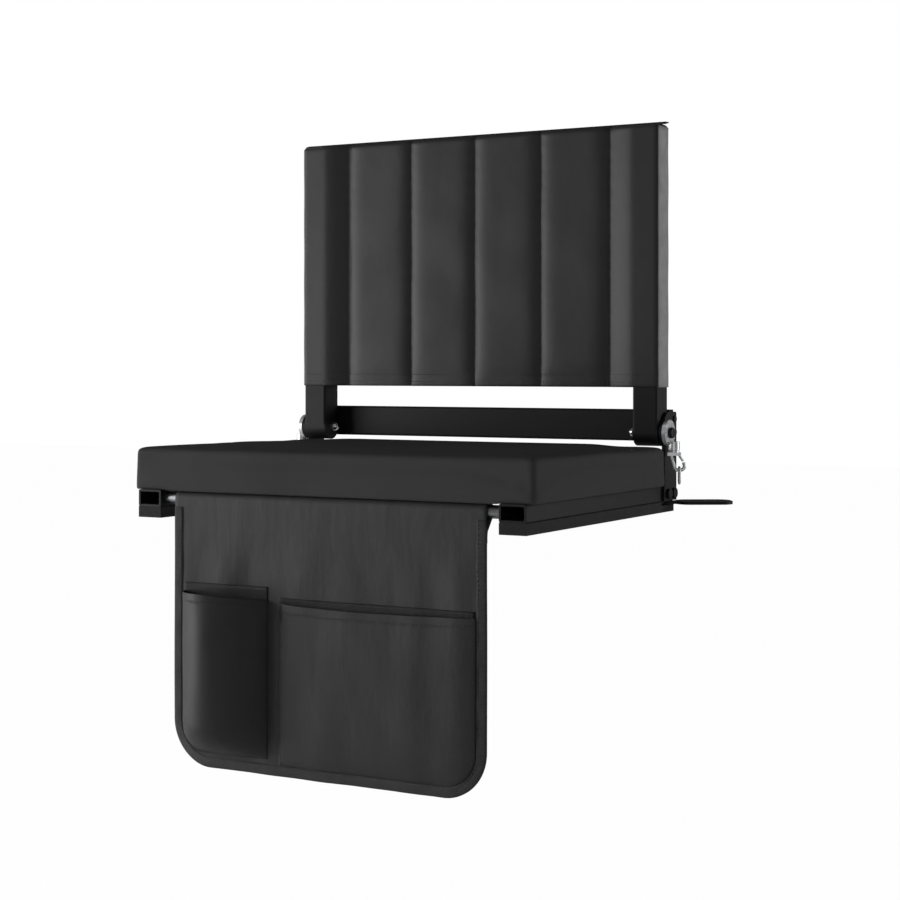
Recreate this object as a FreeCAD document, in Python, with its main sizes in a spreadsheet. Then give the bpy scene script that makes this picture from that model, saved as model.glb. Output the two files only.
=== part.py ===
import FreeCAD, Part
import math
import os
import Sketcher

# A padded bleacher seat with a folding back and a pocketed apron.
# Millimetres. X runs across the seat, the front faces -Y and Z is up.
# Left and right are as seen from the front.
# The origin lies on the bench top, midway between the rails and midway along them.

SIZES = (
    ("rail_span", 440, "over the outer faces of the two rails"),
    ("rail_width", 28, "width of a rail tube"),
    ("rail_height", 17, "height of a rail tube"),
    ("rail_length", 340, "length of a rail"),
    ("rail_wall", 2.2, "wall of a rail tube"),
    ("rail_corner", 1.8, "outer corner radius of a rail tube"),
    ("strip_height", 11, "height of the rubber strip under a rail"),
    ("strip_step_height", 7.2, "height of the strip under a bench hook"),
    ("strip_step_length", 32, "length of the low rear end of the strip"),
    ("rivet_well_gap", 0.8, "room in the strip round a hook rivet's head"),
    ("rod_diameter", 12.6, "diameter of the front rod"),
    ("rod_setback", 12, "rod axis behind the rails' front ends"),
    ("cross_tube_depth", 22, "front to back size of the rear cross tube"),
    ("cross_tube_height", 14, "height of the rear cross tube"),
    ("cross_tube_wall", 1.8, "wall of the rear cross tube"),
    ("cross_tube_setback", 62, "cross tube middle ahead of the rails' rear ends"),
    ("seat_setback", 3, "cushion front behind the rails' front ends"),
    ("seat_overhang", 7, "cushion side beyond a rail's outer face"),
    ("seat_rear_gap", 1.5, "from the cushion's rear to the hinge ears"),
    ("seat_lift", 0.3, "cover hem above the rails"),
    ("seat_thickness", 42.2, "height of the cushion"),
    ("seat_crown", 3, "rise of the cushion top from its edge to its middle"),
    ("seat_crown_run", 70, "how far in from the rounded edge the top rises"),
    ("seat_draw", 2, "how far each side is drawn in at its middle"),
    ("seat_edge_radius", 9, "rounding of the cushion's top edge"),
    ("seat_corner_radius", 14, "rounding of the cushion's corners in plan"),
    ("cloth", 1.2, "thickness of the sewn covers"),
    ("soft_gap", 0.3, "room between soft pieces and what they hold"),
    ("board_thickness", 9, "thickness of the seat board"),
    ("screw_diameter", 4.5, "shank of a seat screw"),
    ("screw_head_diameter", 9, "head of a seat screw"),
    ("screw_head_height", 2.6, "height of a seat screw's head"),
    ("screw_bite", 6.5, "length of a seat screw in the board"),
    ("screw_pitch", 100, "distance between the screws along a rail"),
    ("screw_setback", 65, "first screw behind the rails' front ends"),
    ("driver_hole", 11, "hole under a seat screw for the driver"),
    ("pivot_setback", 28.1, "hinge axis ahead of the rails' rear ends"),
    ("post_foot_gap", 1.5, "posts' round feet above the cushion's rim"),
    ("pivot_diameter", 6, "shank of a hinge bolt"),
    ("pivot_head_diameter", 11.6, "head of a hinge bolt"),
    ("pivot_head_height", 3.4, "height of a hinge bolt's head"),
    ("running_gap", 0.05, "radial room of a shaft that turns in its hole"),
    ("fixed_gap", 0.03, "radial room of a shank that is fixed in its hole"),
    ("side_gap", 0.8, "between a post and its hinge ear"),
    ("washer_diameter", 22, "diameter of a hinge washer"),
    ("washer_thickness", 0.6, "thickness of a hinge washer"),
    ("bush_diameter", 10, "outer diameter of a post bush"),
    ("nut_width", 10, "width across the flats of the nuts"),
    ("nut_height", 4.6, "height of the hexagon of the nuts"),
    ("nut_dome_diameter", 9, "round end of a dome nut"),
    ("nut_gap", 0.3, "between a post and its dome nut"),
    ("ear_thickness", 3.2, "thickness of a hinge ear"),
    ("ear_depth", 32, "front to back size of an ear's stem"),
    ("ear_rise", 21.5, "top of an ear above the hinge axis"),
    ("ear_boss_diameter", 26, "round boss of an ear about the hinge axis"),
    ("ear_foot_gap", 1, "foot of an ear above the rail tube's underside"),
    ("ear_front_corner", 12, "rounding of an ear's top front corner"),
    ("ear_rear_corner", 3, "rounding of an ear's top rear corner"),
    ("ear_bolt_diameter", 6, "shank of an ear bolt"),
    ("ear_bolt_head_diameter", 10.5, "head of an ear bolt"),
    ("ear_bolt_head_height", 3.2, "height of an ear bolt's head"),
    ("ear_bolt_pitch", 14, "distance between an ear's bolts"),
    ("backstop_height", 33.3, "height of the backstop bar"),
    ("backstop_drop", 9.6, "foot of the backstop below the hinge axis"),
    ("backstop_wall", 2.5, "wall of the backstop bar"),
    ("backstop_gap", 0.6, "between the posts and the backstop"),
    ("backstop_inset", 1.2, "backstop flanges ahead of the ears' rear edges"),
    ("rivet_diameter", 4, "shank of a backstop rivet"),
    ("rivet_head_diameter", 7, "head of a backstop rivet"),
    ("rivet_head_height", 1.6, "height of a backstop rivet's head"),
    ("rivet_pitch", 14, "distance between an ear's backstop rivets"),
    ("post_size", 28, "side of a square back post"),
    ("post_wall", 1.8, "wall of a back post"),
    ("post_corner", 2.4, "outer corner radius of a back post"),
    ("plug_depth", 15, "depth of a plug in a post's top"),
    ("plug_flange", 2, "flange of a post plug"),
    ("top_tube_height", 25, "height of the tube between the post tops"),
    ("top_tube_depth", 11, "front to back size of the top tube"),
    ("top_tube_wall", 1.5, "wall of the top tube"),
    ("top_tube_drop", 4, "top tube below the post tops"),
    ("back_cover_lift", 47.3, "foot of the back cover above the hinge axis"),
    ("back_cover_height", 274.2, "height of the back cover"),
    ("post_wrap", 1.0, "back cover outside a post, front and rear"),
    ("side_wrap", 1.5, "back cover outside a post at the side"),
    ("gusset_thickness", 0.8, "thickness of the side gussets"),
    ("gusset_inset", 1.5, "gusset edges inside the cover's front and rear"),
    ("channel_pitch", 81, "distance between the back's seams"),
    ("channel_bulge", 5, "how far a channel swells ahead of its seams"),
    ("seam_recess", 12, "seams behind the cover's front over the posts"),
    ("piping_depth", 2.4, "front to back size of the top piping"),
    ("piping_height", 2.6, "height of the top piping"),
    ("piping_end", 5, "piping ends beyond the side gussets"),
    ("apron_width", 353.8, "width of the apron"),
    ("apron_drop", 264, "foot of the apron below the rod axis"),
    ("apron_corner", 45, "rounding of the apron's lower corners"),
    ("apron_cloth", 1.4, "thickness of the apron's cloth"),
    ("binding_width", 10, "width of the tape round the apron"),
    ("binding_thickness", 0.8, "thickness of the tape"),
    ("pocket_margin", 0.6, "between the tape and the pockets"),
    ("cup_inset", 13, "cup pocket from the apron's side edge"),
    ("cup_width", 99, "width of the cup pocket"),
    ("cup_bulge", 45, "how far the cup pocket stands forward"),
    ("cup_drop", 82, "mouth of the cup pocket below the rod axis"),
    ("cup_depth", 167, "depth of the cup pocket"),
    ("cup_sag", 9.5, "how far the cup pocket's lip sags at the front"),
    ("flat_inset", 11, "flat pocket from the apron's other side edge"),
    ("flat_width", 216, "width of the flat pocket"),
    ("flat_bulge", 9, "how far the flat pocket stands forward"),
    ("flat_drop", 95.5, "mouth of the flat pocket below the rod axis"),
    ("flat_depth", 157.5, "depth of the flat pocket"),
    ("flat_sag", 2, "how far the flat pocket's lip sags at the front"),
    ("hook_thickness", 3, "thickness of a bench hook"),
    ("hook_neck_width", 14, "width of a bench hook's neck"),
    ("hook_neck_length", 20, "from the rivet to a bench hook's blade"),
    ("hook_blade_width", 40, "width of a bench hook's blade"),
    ("hook_blade_length", 59, "length of a bench hook's blade"),
    ("hook_blade_corner", 14, "rounding of the blade's corners"),
    ("hook_eye_diameter", 19, "round end of a bench hook at its rivet"),
    ("hook_turn", 31.5, "degrees by which a bench hook stands back from X"),
    ("hook_setback", 12, "hook rivet ahead of the rails' rear ends"),
    ("hook_gap", 0.25, "room above and below a bench hook"),
    ("hook_rivet_diameter", 6, "shank of a hook rivet"),
    ("hook_rivet_head_diameter", 12, "heads of a hook rivet"),
    ("hook_rivet_head_height", 2.4, "height of a hook rivet's heads"),
    ("clip_eye_diameter", 27, "outer diameter of a clip's eye"),
    ("clip_eye_thickness", 4, "thickness of a clip's eye"),
    ("clip_gap", 0.6, "room on each side of a clip's eye"),
    ("clip_barrel_diameter", 12, "diameter of a clip's swivel barrel"),
    ("clip_barrel_height", 9, "height of the swivel barrel"),
    ("clip_barrel_offset", 6.3, "swivel axis outside the middle of the eye"),
    ("clip_barrel_drop", 18, "foot of the barrel below the hinge axis"),
    ("clip_stem_diameter", 4.6, "stem of a clip hook in its barrel"),
    ("clip_stem_head_diameter", 7, "head of that stem"),
    ("clip_stem_head_height", 2.6, "height of that head"),
    ("clip_barrel_lip", 3.6, "barrel wall that holds the stem's head"),
    ("clip_end_gap", 0.3, "room along the swivel axis"),
    ("clip_collar_diameter", 11, "collar of a clip hook"),
    ("clip_collar_height", 1.8, "height of the collar"),
    ("clip_block_width", 14, "width of the hook's root block"),
    ("clip_block_depth", 6.4, "depth of the hook's root block"),
    ("clip_block_height", 3.5, "height of the hook's root block"),
    ("clip_block_edge", 1, "root block outside the hook's wire"),
    ("clip_wire", 3.6, "wire diameter of a clip hook"),
    ("clip_reach", 10.5, "width of a clip hook inside its bend"),
    ("clip_lean", 5.5, "how far the hook's foot lies to one side"),
    ("clip_drop", 20.5, "hook's foot below its barrel"),
    ("clip_tip_rise", 8, "hook's tip above its foot"),
    ("clip_tip_lean", 1.7, "hook's tip back from its bend"),
    ("clip_bend", 4.2, "bend radius of the hook's wire"),
    ("clip_turn", 29.5, "degrees by which a clip hook faces the front"),
    ("gate_wire", 2.6, "diameter of a gate"),
    ("gate_knuckle_diameter", 3.4, "knuckle of a gate"),
    ("gate_knuckle_width", 3.2, "width of a gate at its knuckle"),
    ("gate_pin_diameter", 1.6, "pin of a gate"),
    ("gate_pin_out", 4.6, "gate pin from the swivel axis"),
    ("gate_pin_drop", 4, "gate pin below the barrel"),
    ("gate_tip_gap", 1.55, "between a gate's end and the hook's tip"),
    ("link_wire", 2.2, "wire diameter of a strap link"),
    ("link_width", 9, "width of a strap link between its wires"),
    ("link_height", 17, "height of a strap link between its wires"),
)

CHANNELS = 4
SCREWS_PER_RAIL = 3
EDGE_STEPS = 5
CROWN_STEPS = 4
TOUCH = 0.01
SIDES = (("left", -1), ("right", 1))
AXIS_TURNS = {
    "x": FreeCAD.Rotation(FreeCAD.Vector(0, 1, 0), 90),
    "y": FreeCAD.Rotation(FreeCAD.Vector(1, 0, 0), -90),
    "z": FreeCAD.Rotation(),
}

document = FreeCAD.newDocument("StadiumSeat")
sheet = document.addObject("Spreadsheet::Sheet", "sizes")
nodes = {}


class Size:
    """A number together with the sheet formula that gives it."""

    def __init__(self, number, text):
        self.number = number
        self.text = text

    def __add__(self, other):
        other = as_size(other)
        return Size(self.number + other.number, f"({self.text} + {other.text})")

    def __sub__(self, other):
        other = as_size(other)
        return Size(self.number - other.number, f"({self.text} - {other.text})")

    def __mul__(self, other):
        other = as_size(other)
        return Size(self.number * other.number, f"({self.text} * {other.text})")

    def __truediv__(self, other):
        other = as_size(other)
        return Size(self.number / other.number, f"({self.text} / {other.text})")

    def __neg__(self):
        return Size(-self.number, f"(0 - {self.text})")

    def __float__(self):
        return self.number

    __radd__ = __add__
    __rmul__ = __mul__


def as_size(value):
    if isinstance(value, Size):
        return value
    return Size(float(value), f"({float(value)})")


class Sheet:
    """The driving sizes by name, as bound sizes."""

    def __init__(self, rows):
        for row, (alias, value, note) in enumerate(rows, start=1):
            sheet.set(f"A{row}", note)
            sheet.set(f"B{row}", str(value))
            sheet.setAlias(f"B{row}", alias)
            setattr(self, alias, Size(float(value), f"sizes.{alias}"))


s = Sheet(SIZES)
document.recompute()

# Places that several pieces share.
rail_outer = s.rail_span / 2
rail_inner = rail_outer - s.rail_width
rail_middle = rail_outer - s.rail_width / 2
rail_front = -s.rail_length / 2
rail_rear = s.rail_length / 2
tube_foot = s.strip_height
tube_top = tube_foot + s.rail_height
tube_axis = tube_foot + s.rail_height / 2
pivot_y = rail_rear - s.pivot_setback
seat_foot = tube_top + s.seat_lift
seat_top = seat_foot + s.seat_thickness
pivot_z = seat_top - s.seat_crown + s.post_foot_gap + s.post_size / 2
rod_y = rail_front + s.rod_setback
rod_z = tube_axis
post_outer = rail_outer - s.side_gap
post_inner = post_outer - s.post_size
post_front = pivot_y - s.post_size / 2
post_rear = pivot_y + s.post_size / 2
ear_outer = rail_outer + s.ear_thickness
ear_front = rail_rear - s.ear_depth
hook_y = rail_rear - s.hook_setback
hook_foot = tube_foot - s.hook_gap - s.hook_thickness
eye_inner = ear_outer + s.clip_gap
eye_outer = eye_inner + s.clip_eye_thickness
barrel_x = eye_inner + s.clip_eye_thickness / 2 + s.clip_barrel_offset
barrel_foot = pivot_z - s.clip_barrel_drop


def keep(name, item):
    """Marks a document object as one finished piece."""
    item.Label = name
    nodes[name] = item
    return item


def bind(item, name, value):
    item.setExpression(name, as_size(value).text)


def put(item, x, y, z):
    for axis, place in zip("xyz", (x, y, z)):
        bind(item, f"Placement.Base.{axis}", place)


def block(name, xs, ys, zs):
    """A box between two places along each axis."""
    item = document.addObject("Part::Box", name)
    for side, (low, high) in zip(("Length", "Width", "Height"), (xs, ys, zs)):
        bind(item, side, high - low)
    put(item, xs[0], ys[0], zs[0])
    return item


def bar(name, axis, start, length, diameter):
    """A round bar that runs from the middle of its first end along an axis."""
    item = document.addObject("Part::Cylinder", name)
    item.Placement = FreeCAD.Placement(FreeCAD.Vector(), AXIS_TURNS[axis])
    bind(item, "Radius", diameter / 2)
    bind(item, "Height", length)
    put(item, *start)
    return item


def hexagon(name, axis, start, length, width):
    """A hexagonal bar, measured across its flats."""
    item = document.addObject("Part::Prism", name)
    item.Polygon = 6
    item.Placement = FreeCAD.Placement(FreeCAD.Vector(), AXIS_TURNS[axis])
    bind(item, "Circumradius", width / math.sqrt(3))
    bind(item, "Height", length)
    put(item, *start)
    return item


def fuse(name, items):
    item = document.addObject("Part::MultiFuse", name)
    item.Shapes = items
    item.Refine = True
    return item


def cut(name, base, tools):
    item = document.addObject("Part::Cut", name)
    item.Base = base
    item.Tool = tools[0] if len(tools) == 1 else fuse(f"{name}_cuts", tools)
    return item


def group(name, items):
    item = document.addObject("Part::Compound", name)
    item.Links = items
    return item


def feature(name, shape, placement=FreeCAD.Placement()):
    """A piece whose shape is worked out below from the sheet's sizes."""
    item = document.addObject("Part::Feature", name)
    item.Shape = shape
    item.Placement = placement
    return item


def rounded(name, base, edge_radii):
    """Rounds the straight edges for which edge_radii gives a radius."""
    document.recompute()
    picked = []
    for number, edge in enumerate(base.Shape.Edges, start=1):
        radius = edge_radii(edge)
        if radius is not None:
            picked.append((number, float(radius), float(radius)))
    item = document.addObject("Part::Fillet", name)
    item.Base = base
    item.Edges = picked
    return item


def along(edge, axis):
    direction = edge.Vertexes[-1].Point - edge.Vertexes[0].Point
    return direction.Length > 0 and abs(getattr(direction.normalize(), axis)) > 0.999


def side_span(side, inner, outer):
    """A span across X on one side of the seat, from its lower to its higher place."""
    return (inner, outer) if side > 0 else (-outer, -inner)


def origin_plane(body, role):
    return next(plane for plane in body.Origin.OriginFeatures if plane.Role == role)


def rectangle(sketch, name, offset, width, height):
    """Draws a rectangle whose first corner is offset from the sketch's origin both ways."""
    first = sketch.GeometryCount
    near = float(offset)
    far_x = near + float(width)
    far_y = near + float(height)
    corners = ((near, near), (far_x, near), (far_x, far_y), (near, far_y))
    for begin, end in zip(corners, corners[1:] + corners[:1]):
        sketch.addGeometry(Part.LineSegment(FreeCAD.Vector(*begin, 0), FreeCAD.Vector(*end, 0)))
    for index in range(4):
        following = first + (index + 1) % 4
        sketch.addConstraint(Sketcher.Constraint("Coincident", first + index, 2, following, 1))
    for index, kind in enumerate(("Horizontal", "Vertical", "Horizontal", "Vertical")):
        sketch.addConstraint(Sketcher.Constraint(kind, first + index))
    if near == 0:
        sketch.addConstraint(Sketcher.Constraint("Coincident", first, 1, -1, 1))
    else:
        for kind in ("DistanceX", "DistanceY"):
            row = sketch.addConstraint(Sketcher.Constraint(kind, -1, 1, first, 1, near))
            sketch.renameConstraint(row, f"{name}_{kind}")
            bind(sketch, f"Constraints.{name}_{kind}", offset)
    for kind, line, value in (("DistanceX", 0, width), ("DistanceY", 1, height)):
        ends = (first + line, 1, first + line, 2)
        row = sketch.addConstraint(Sketcher.Constraint(kind, *ends, float(value)))
        sketch.renameConstraint(row, f"{name}_size_{kind}")
        bind(sketch, f"Constraints.{name}_size_{kind}", value)


def tube(name, role, width, height, length, wall, corner):
    """A rectangular tube drawn on an origin plane, with its outer long edges rounded."""
    body = document.addObject("PartDesign::Body", name)
    sketch = body.newObject("Sketcher::SketchObject", f"{name}_section")
    sketch.AttachmentSupport = [(origin_plane(body, role), "")]
    sketch.MapMode = "FlatFace"
    rectangle(sketch, "outer", 0, width, height)
    rectangle(sketch, "inner", wall, width - wall * 2, height - wall * 2)
    pad = body.newObject("PartDesign::Pad", f"{name}_pad")
    pad.Profile = sketch
    bind(pad, "Length", length)
    pad.Reversed = role == "XZ_Plane"
    document.recompute()
    box = pad.Shape.BoundBox
    axis = {"XY_Plane": "z", "XZ_Plane": "y", "YZ_Plane": "x"}[role]
    corners = []
    for number, edge in enumerate(pad.Shape.Edges, start=1):
        middle = edge.BoundBox.Center
        reach = [abs(getattr(middle - box.Center, other)) for other in "xyz" if other != axis]
        limits = [getattr(box, f"{other.upper()}Length") / 2 for other in "xyz" if other != axis]
        if along(edge, axis) and all(abs(a - b) < TOUCH for a, b in zip(reach, limits)):
            corners.append(f"Edge{number}")
    fillet = body.newObject("PartDesign::Fillet", f"{name}_corners")
    fillet.Base = (pad, corners)
    bind(fillet, "Radius", corner)
    return body


def make_rails():
    """Two rectangular tubes with drilled holes, on rubber strips that step down under the bench hooks."""
    for side_name, side in SIDES:
        across = side_span(side, rail_inner, rail_outer)
        body = tube(f"{side_name}_rail_tube", "XZ_Plane", s.rail_width, s.rail_height, s.rail_length,
                    s.rail_wall, s.rail_corner)
        put(body, across[0], rail_front, tube_foot)
        holes = []
        for number, y in enumerate(ear_bolt_ys()):
            hole = bar(f"{side_name}_rail_ear_hole_{number}", "x", (across[0], y, tube_axis),
                       s.rail_width, s.ear_bolt_diameter + s.fixed_gap * 2)
            holes.append(hole)
        for number, y in enumerate(screw_ys()):
            hole = bar(f"{side_name}_rail_screw_hole_{number}", "z", (side * rail_middle, y, tube_axis),
                       s.rail_height, s.screw_diameter + s.fixed_gap * 2)
            driver = bar(f"{side_name}_rail_driver_hole_{number}", "z", (side * rail_middle, y, tube_foot),
                         s.rail_height / 2, s.driver_hole)
            holes += [hole, driver]
        rivet_hole = bar(f"{side_name}_rail_rivet_hole", "z", (side * rail_middle, hook_y, tube_foot),
                         s.rail_height / 2, s.hook_rivet_diameter + s.fixed_gap * 2)
        holes.append(rivet_hole)
        keep(f"{side_name}_rail", cut(f"{side_name}_rail", body, holes))

        strip = block(f"{side_name}_strip", across, (rail_front, rail_rear), (as_size(0), s.strip_height))
        step = block(f"{side_name}_strip_step", across, (rail_rear - s.strip_step_length, rail_rear),
                     (s.strip_step_height, s.strip_height))
        well = bar(f"{side_name}_strip_well", "z", (side * rail_middle, hook_y, as_size(0)), s.strip_height,
                   s.hook_rivet_head_diameter + s.rivet_well_gap * 2)
        keep(f"{side_name}_rail_pad", cut(f"{side_name}_rail_pad", strip, [step, well]))


def ear_bolt_ys():
    middle = ear_front + s.ear_depth / 2
    return (middle - s.ear_bolt_pitch / 2, middle + s.ear_bolt_pitch / 2)


def screw_ys():
    return [rail_front + s.screw_setback + s.screw_pitch * row for row in range(SCREWS_PER_RAIL)]


def make_cross_members():
    """The bright rod at the front and a tube under the rear of the seat."""
    keep("front_rod", bar("front_rod", "x", (-rail_inner, rod_y, rod_z), rail_inner * 2, s.rod_diameter))
    cross = tube("rear_cross_tube", "YZ_Plane", s.cross_tube_depth, s.cross_tube_height, rail_inner * 2,
                 s.cross_tube_wall, s.rail_corner)
    put(cross, -rail_inner, rail_rear - s.cross_tube_setback - s.cross_tube_depth / 2,
        tube_top - s.cross_tube_height)
    keep("rear_cross_tube", cross)


seat_half = rail_outer + s.seat_overhang
seat_front = rail_front + s.seat_setback
seat_rear = ear_front - s.seat_rear_gap
board_top = tube_top + s.board_thickness


def cushion_ring(inset, corner, z):
    """A level outline of the cushion: sides drawn in at their middles, joined by round corners."""
    half = float(seat_half) - inset
    front = float(seat_front) + inset
    rear = float(seat_rear) - inset
    draw = float(s.seat_draw)
    middle = (front + rear) / 2
    bow = corner * math.sqrt(0.5)
    waists = ((0, front + draw), (half - draw, middle), (0, rear - draw), (draw - half, middle))
    centres = ((half - corner, front + corner), (half - corner, rear - corner),
               (corner - half, rear - corner), (corner - half, front + corner))
    outward = ((1, -1), (1, 1), (-1, 1), (-1, -1))
    edges = []
    start = FreeCAD.Vector(corner - half, front, z)
    for waist, centre, (out_x, out_y) in zip(waists, centres, outward):
        side_end = (centre[0], centre[1] + out_y * corner)
        corner_end = (centre[0] + out_x * corner, centre[1])
        if out_x * out_y > 0:
            side_end, corner_end = corner_end, side_end
        turn = FreeCAD.Vector(*side_end, z)
        finish = FreeCAD.Vector(*corner_end, z)
        crest = FreeCAD.Vector(centre[0] + out_x * bow, centre[1] + out_y * bow, z)
        edges.append(Part.Arc(start, FreeCAD.Vector(*waist, z), turn).toShape())
        edges.append(Part.Arc(turn, crest, finish).toShape())
        start = finish
    return Part.Wire(edges)


def cushion(inset, foot, top):
    """A crowned block with drawn-in sides and rounded edges, inset from the seat cover's outside."""
    edge = float(s.seat_edge_radius) - inset
    corner = float(s.seat_corner_radius) - inset
    crown = float(s.seat_crown)
    run = float(s.seat_crown_run)
    shoulder = top - crown - edge
    rings = [cushion_ring(inset, corner, foot)]
    for step in range(EDGE_STEPS + 1):
        turn = math.pi / 2 * step / EDGE_STEPS
        fall = edge * (1 - math.cos(turn))
        rings.append(cushion_ring(inset + fall, corner - fall, shoulder + edge * math.sin(turn)))
    for step in range(1, CROWN_STEPS + 1):
        share = step / CROWN_STEPS
        rise = crown * (1 - math.cos(math.pi * share)) / 2
        inward = run * share
        rings.append(cushion_ring(inset + edge + inward, corner - edge + inward / 3, shoulder + edge + rise))
    return Part.makeLoft(rings, True, True)


def make_seat():
    """A board on the rails, foam on the board and a sewn cover over both, open underneath."""
    board_inset = s.cloth + s.seat_draw + s.soft_gap
    board = block("seat_board_blank", (-(seat_half - board_inset), seat_half - board_inset),
                  (seat_front + board_inset, seat_rear - board_inset), (tube_top, board_top))
    board = rounded("seat_board_shape", board,
                    lambda edge: s.seat_corner_radius if along(edge, "z") else None)
    holes = []
    screws = []
    wall_foot = tube_top - s.rail_wall
    for side_name, side in SIDES:
        for number, y in enumerate(screw_ys()):
            x = side * rail_middle
            holes.append(bar(f"{side_name}_board_hole_{number}", "z", (x, y, tube_top),
                             s.screw_bite + s.soft_gap, s.screw_diameter + s.fixed_gap * 2))
            shank = bar(f"{side_name}_screw_shank_{number}", "z", (x, y, wall_foot),
                        s.rail_wall + s.screw_bite, s.screw_diameter)
            head = bar(f"{side_name}_screw_head_{number}", "z", (x, y, wall_foot - s.screw_head_height),
                       s.screw_head_height, s.screw_head_diameter)
            screws.append(fuse(f"{side_name}_screw_{number}", [shank, head]))
    keep("seat_board", cut("seat_board", board, holes))
    keep("seat_screws", group("seat_screws", screws))

    cloth = float(s.cloth)
    gap = float(s.soft_gap)
    foot = float(seat_foot)
    top = float(seat_top)
    outside = cushion(0, foot, top)
    hollow = cushion(cloth, foot - cloth, top - cloth)
    keep("seat_cover", feature("seat_cover", outside.cut(hollow)))
    keep("seat_foam", feature("seat_foam", cushion(cloth + gap, float(board_top), top - cloth - gap)))


backstop_front = post_rear + s.backstop_gap
backstop_rear = rail_rear - s.backstop_inset
backstop_foot = pivot_z - s.backstop_drop
backstop_top = backstop_foot + s.backstop_height


def rivet_places():
    y = (backstop_front + s.backstop_wall + backstop_rear) / 2
    middle = (backstop_foot + backstop_top) / 2
    return [(y, middle - s.rivet_pitch / 2), (y, middle + s.rivet_pitch / 2)]


def make_hinge_ears():
    """Plates on the rails' outer faces that carry the hinge bolts and the backstop."""
    ear_foot = tube_foot + s.ear_foot_gap
    ear_top = pivot_z + s.ear_rise

    def corner_radius(edge):
        middle = edge.BoundBox.Center
        if not along(edge, "x") or middle.z < float(pivot_z):
            return None
        return s.ear_front_corner if middle.y < float(pivot_y) else s.ear_rear_corner

    for side_name, side in SIDES:
        across = side_span(side, rail_outer, ear_outer)
        plate = block(f"{side_name}_ear_blank", across, (ear_front, rail_rear), (ear_foot, ear_top))
        plate = rounded(f"{side_name}_ear_plate", plate, corner_radius)
        boss = bar(f"{side_name}_ear_boss", "x", (across[0], pivot_y, pivot_z), s.ear_thickness,
                   s.ear_boss_diameter)
        holes = [bar(f"{side_name}_ear_pivot_hole", "x", (across[0], pivot_y, pivot_z), s.ear_thickness,
                     s.pivot_diameter + s.fixed_gap * 2)]
        for number, y in enumerate(ear_bolt_ys()):
            holes.append(bar(f"{side_name}_ear_bolt_hole_{number}", "x", (across[0], y, tube_axis),
                             s.ear_thickness, s.ear_bolt_diameter + s.fixed_gap * 2))
        for number, (y, z) in enumerate(rivet_places()):
            holes.append(bar(f"{side_name}_ear_rivet_hole_{number}", "x", (across[0], y, z),
                             s.ear_thickness, s.rivet_diameter + s.fixed_gap * 2))
        outline = fuse(f"{side_name}_ear_outline", [plate, boss])
        keep(f"{side_name}_hinge_ear", cut(f"{side_name}_hinge_ear", outline, holes))


def make_ear_bolts():
    """Bolts that run through ear and rail, with nuts on the rails' inner faces."""
    bolts = []
    nuts = []
    nut_face = rail_inner - s.nut_height
    for side_name, side in SIDES:
        for number, y in enumerate(ear_bolt_ys()):
            shank_across = side_span(side, nut_face, ear_outer)
            head_across = side_span(side, ear_outer, ear_outer + s.ear_bolt_head_height)
            nut_across = side_span(side, nut_face, rail_inner)
            label = f"{side_name}_ear_bolt_{number}"
            shank = bar(f"{label}_shank", "x", (shank_across[0], y, tube_axis),
                        shank_across[1] - shank_across[0], s.ear_bolt_diameter)
            head = bar(f"{label}_head", "x", (head_across[0], y, tube_axis), s.ear_bolt_head_height,
                       s.ear_bolt_head_diameter)
            bolts.append(fuse(label, [shank, head]))
            blank = hexagon(f"{side_name}_ear_nut_blank_{number}", "x", (nut_across[0], y, tube_axis),
                            s.nut_height, s.nut_width)
            bore = bar(f"{side_name}_ear_nut_bore_{number}", "x", (nut_across[0], y, tube_axis),
                       s.nut_height, s.ear_bolt_diameter + s.fixed_gap * 2)
            nuts.append(cut(f"{side_name}_ear_nut_{number}", blank, [bore]))
    keep("ear_bolts", group("ear_bolts", bolts))
    keep("ear_nuts", group("ear_nuts", nuts))


def make_backstop():
    """A channel, open to the rear, riveted between the hinge ears."""
    blank = block("backstop_blank", (-rail_outer, rail_outer), (backstop_front, backstop_rear),
                  (backstop_foot, backstop_top))

    def bend_radius(edge):
        return s.backstop_wall if along(edge, "x") and edge.BoundBox.YMax < float(backstop_rear) else None

    shape = rounded("backstop_shape", blank, bend_radius)
    hollow = block("backstop_hollow", (-(rail_outer - s.backstop_wall), rail_outer - s.backstop_wall),
                   (backstop_front + s.backstop_wall, backstop_rear),
                   (backstop_foot + s.backstop_wall, backstop_top - s.backstop_wall))
    tools = [hollow]
    rivets = []
    tab = rail_outer - s.backstop_wall
    for side_name, side in SIDES:
        for number, (y, z) in enumerate(rivet_places()):
            label = f"{side_name}_backstop_rivet_{number}"
            tab_across = side_span(side, tab, rail_outer)
            tools.append(bar(f"{label}_hole", "x", (tab_across[0], y, z), s.backstop_wall,
                             s.rivet_diameter + s.fixed_gap * 2))
            shank_across = side_span(side, tab, ear_outer)
            shank = bar(f"{label}_shank", "x", (shank_across[0], y, z), s.backstop_wall + s.ear_thickness,
                        s.rivet_diameter)
            pieces = [shank]
            for end, start in (("inner", tab - s.rivet_head_height), ("outer", ear_outer)):
                head_across = side_span(side, start, start + s.rivet_head_height)
                pieces.append(bar(f"{label}_{end}", "x", (head_across[0], y, z), s.rivet_head_height,
                                  s.rivet_head_diameter))
            rivets.append(fuse(label, pieces))
    keep("backstop_bar", cut("backstop_bar", shape, tools))
    keep("backstop_rivets", group("backstop_rivets", rivets))


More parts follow.
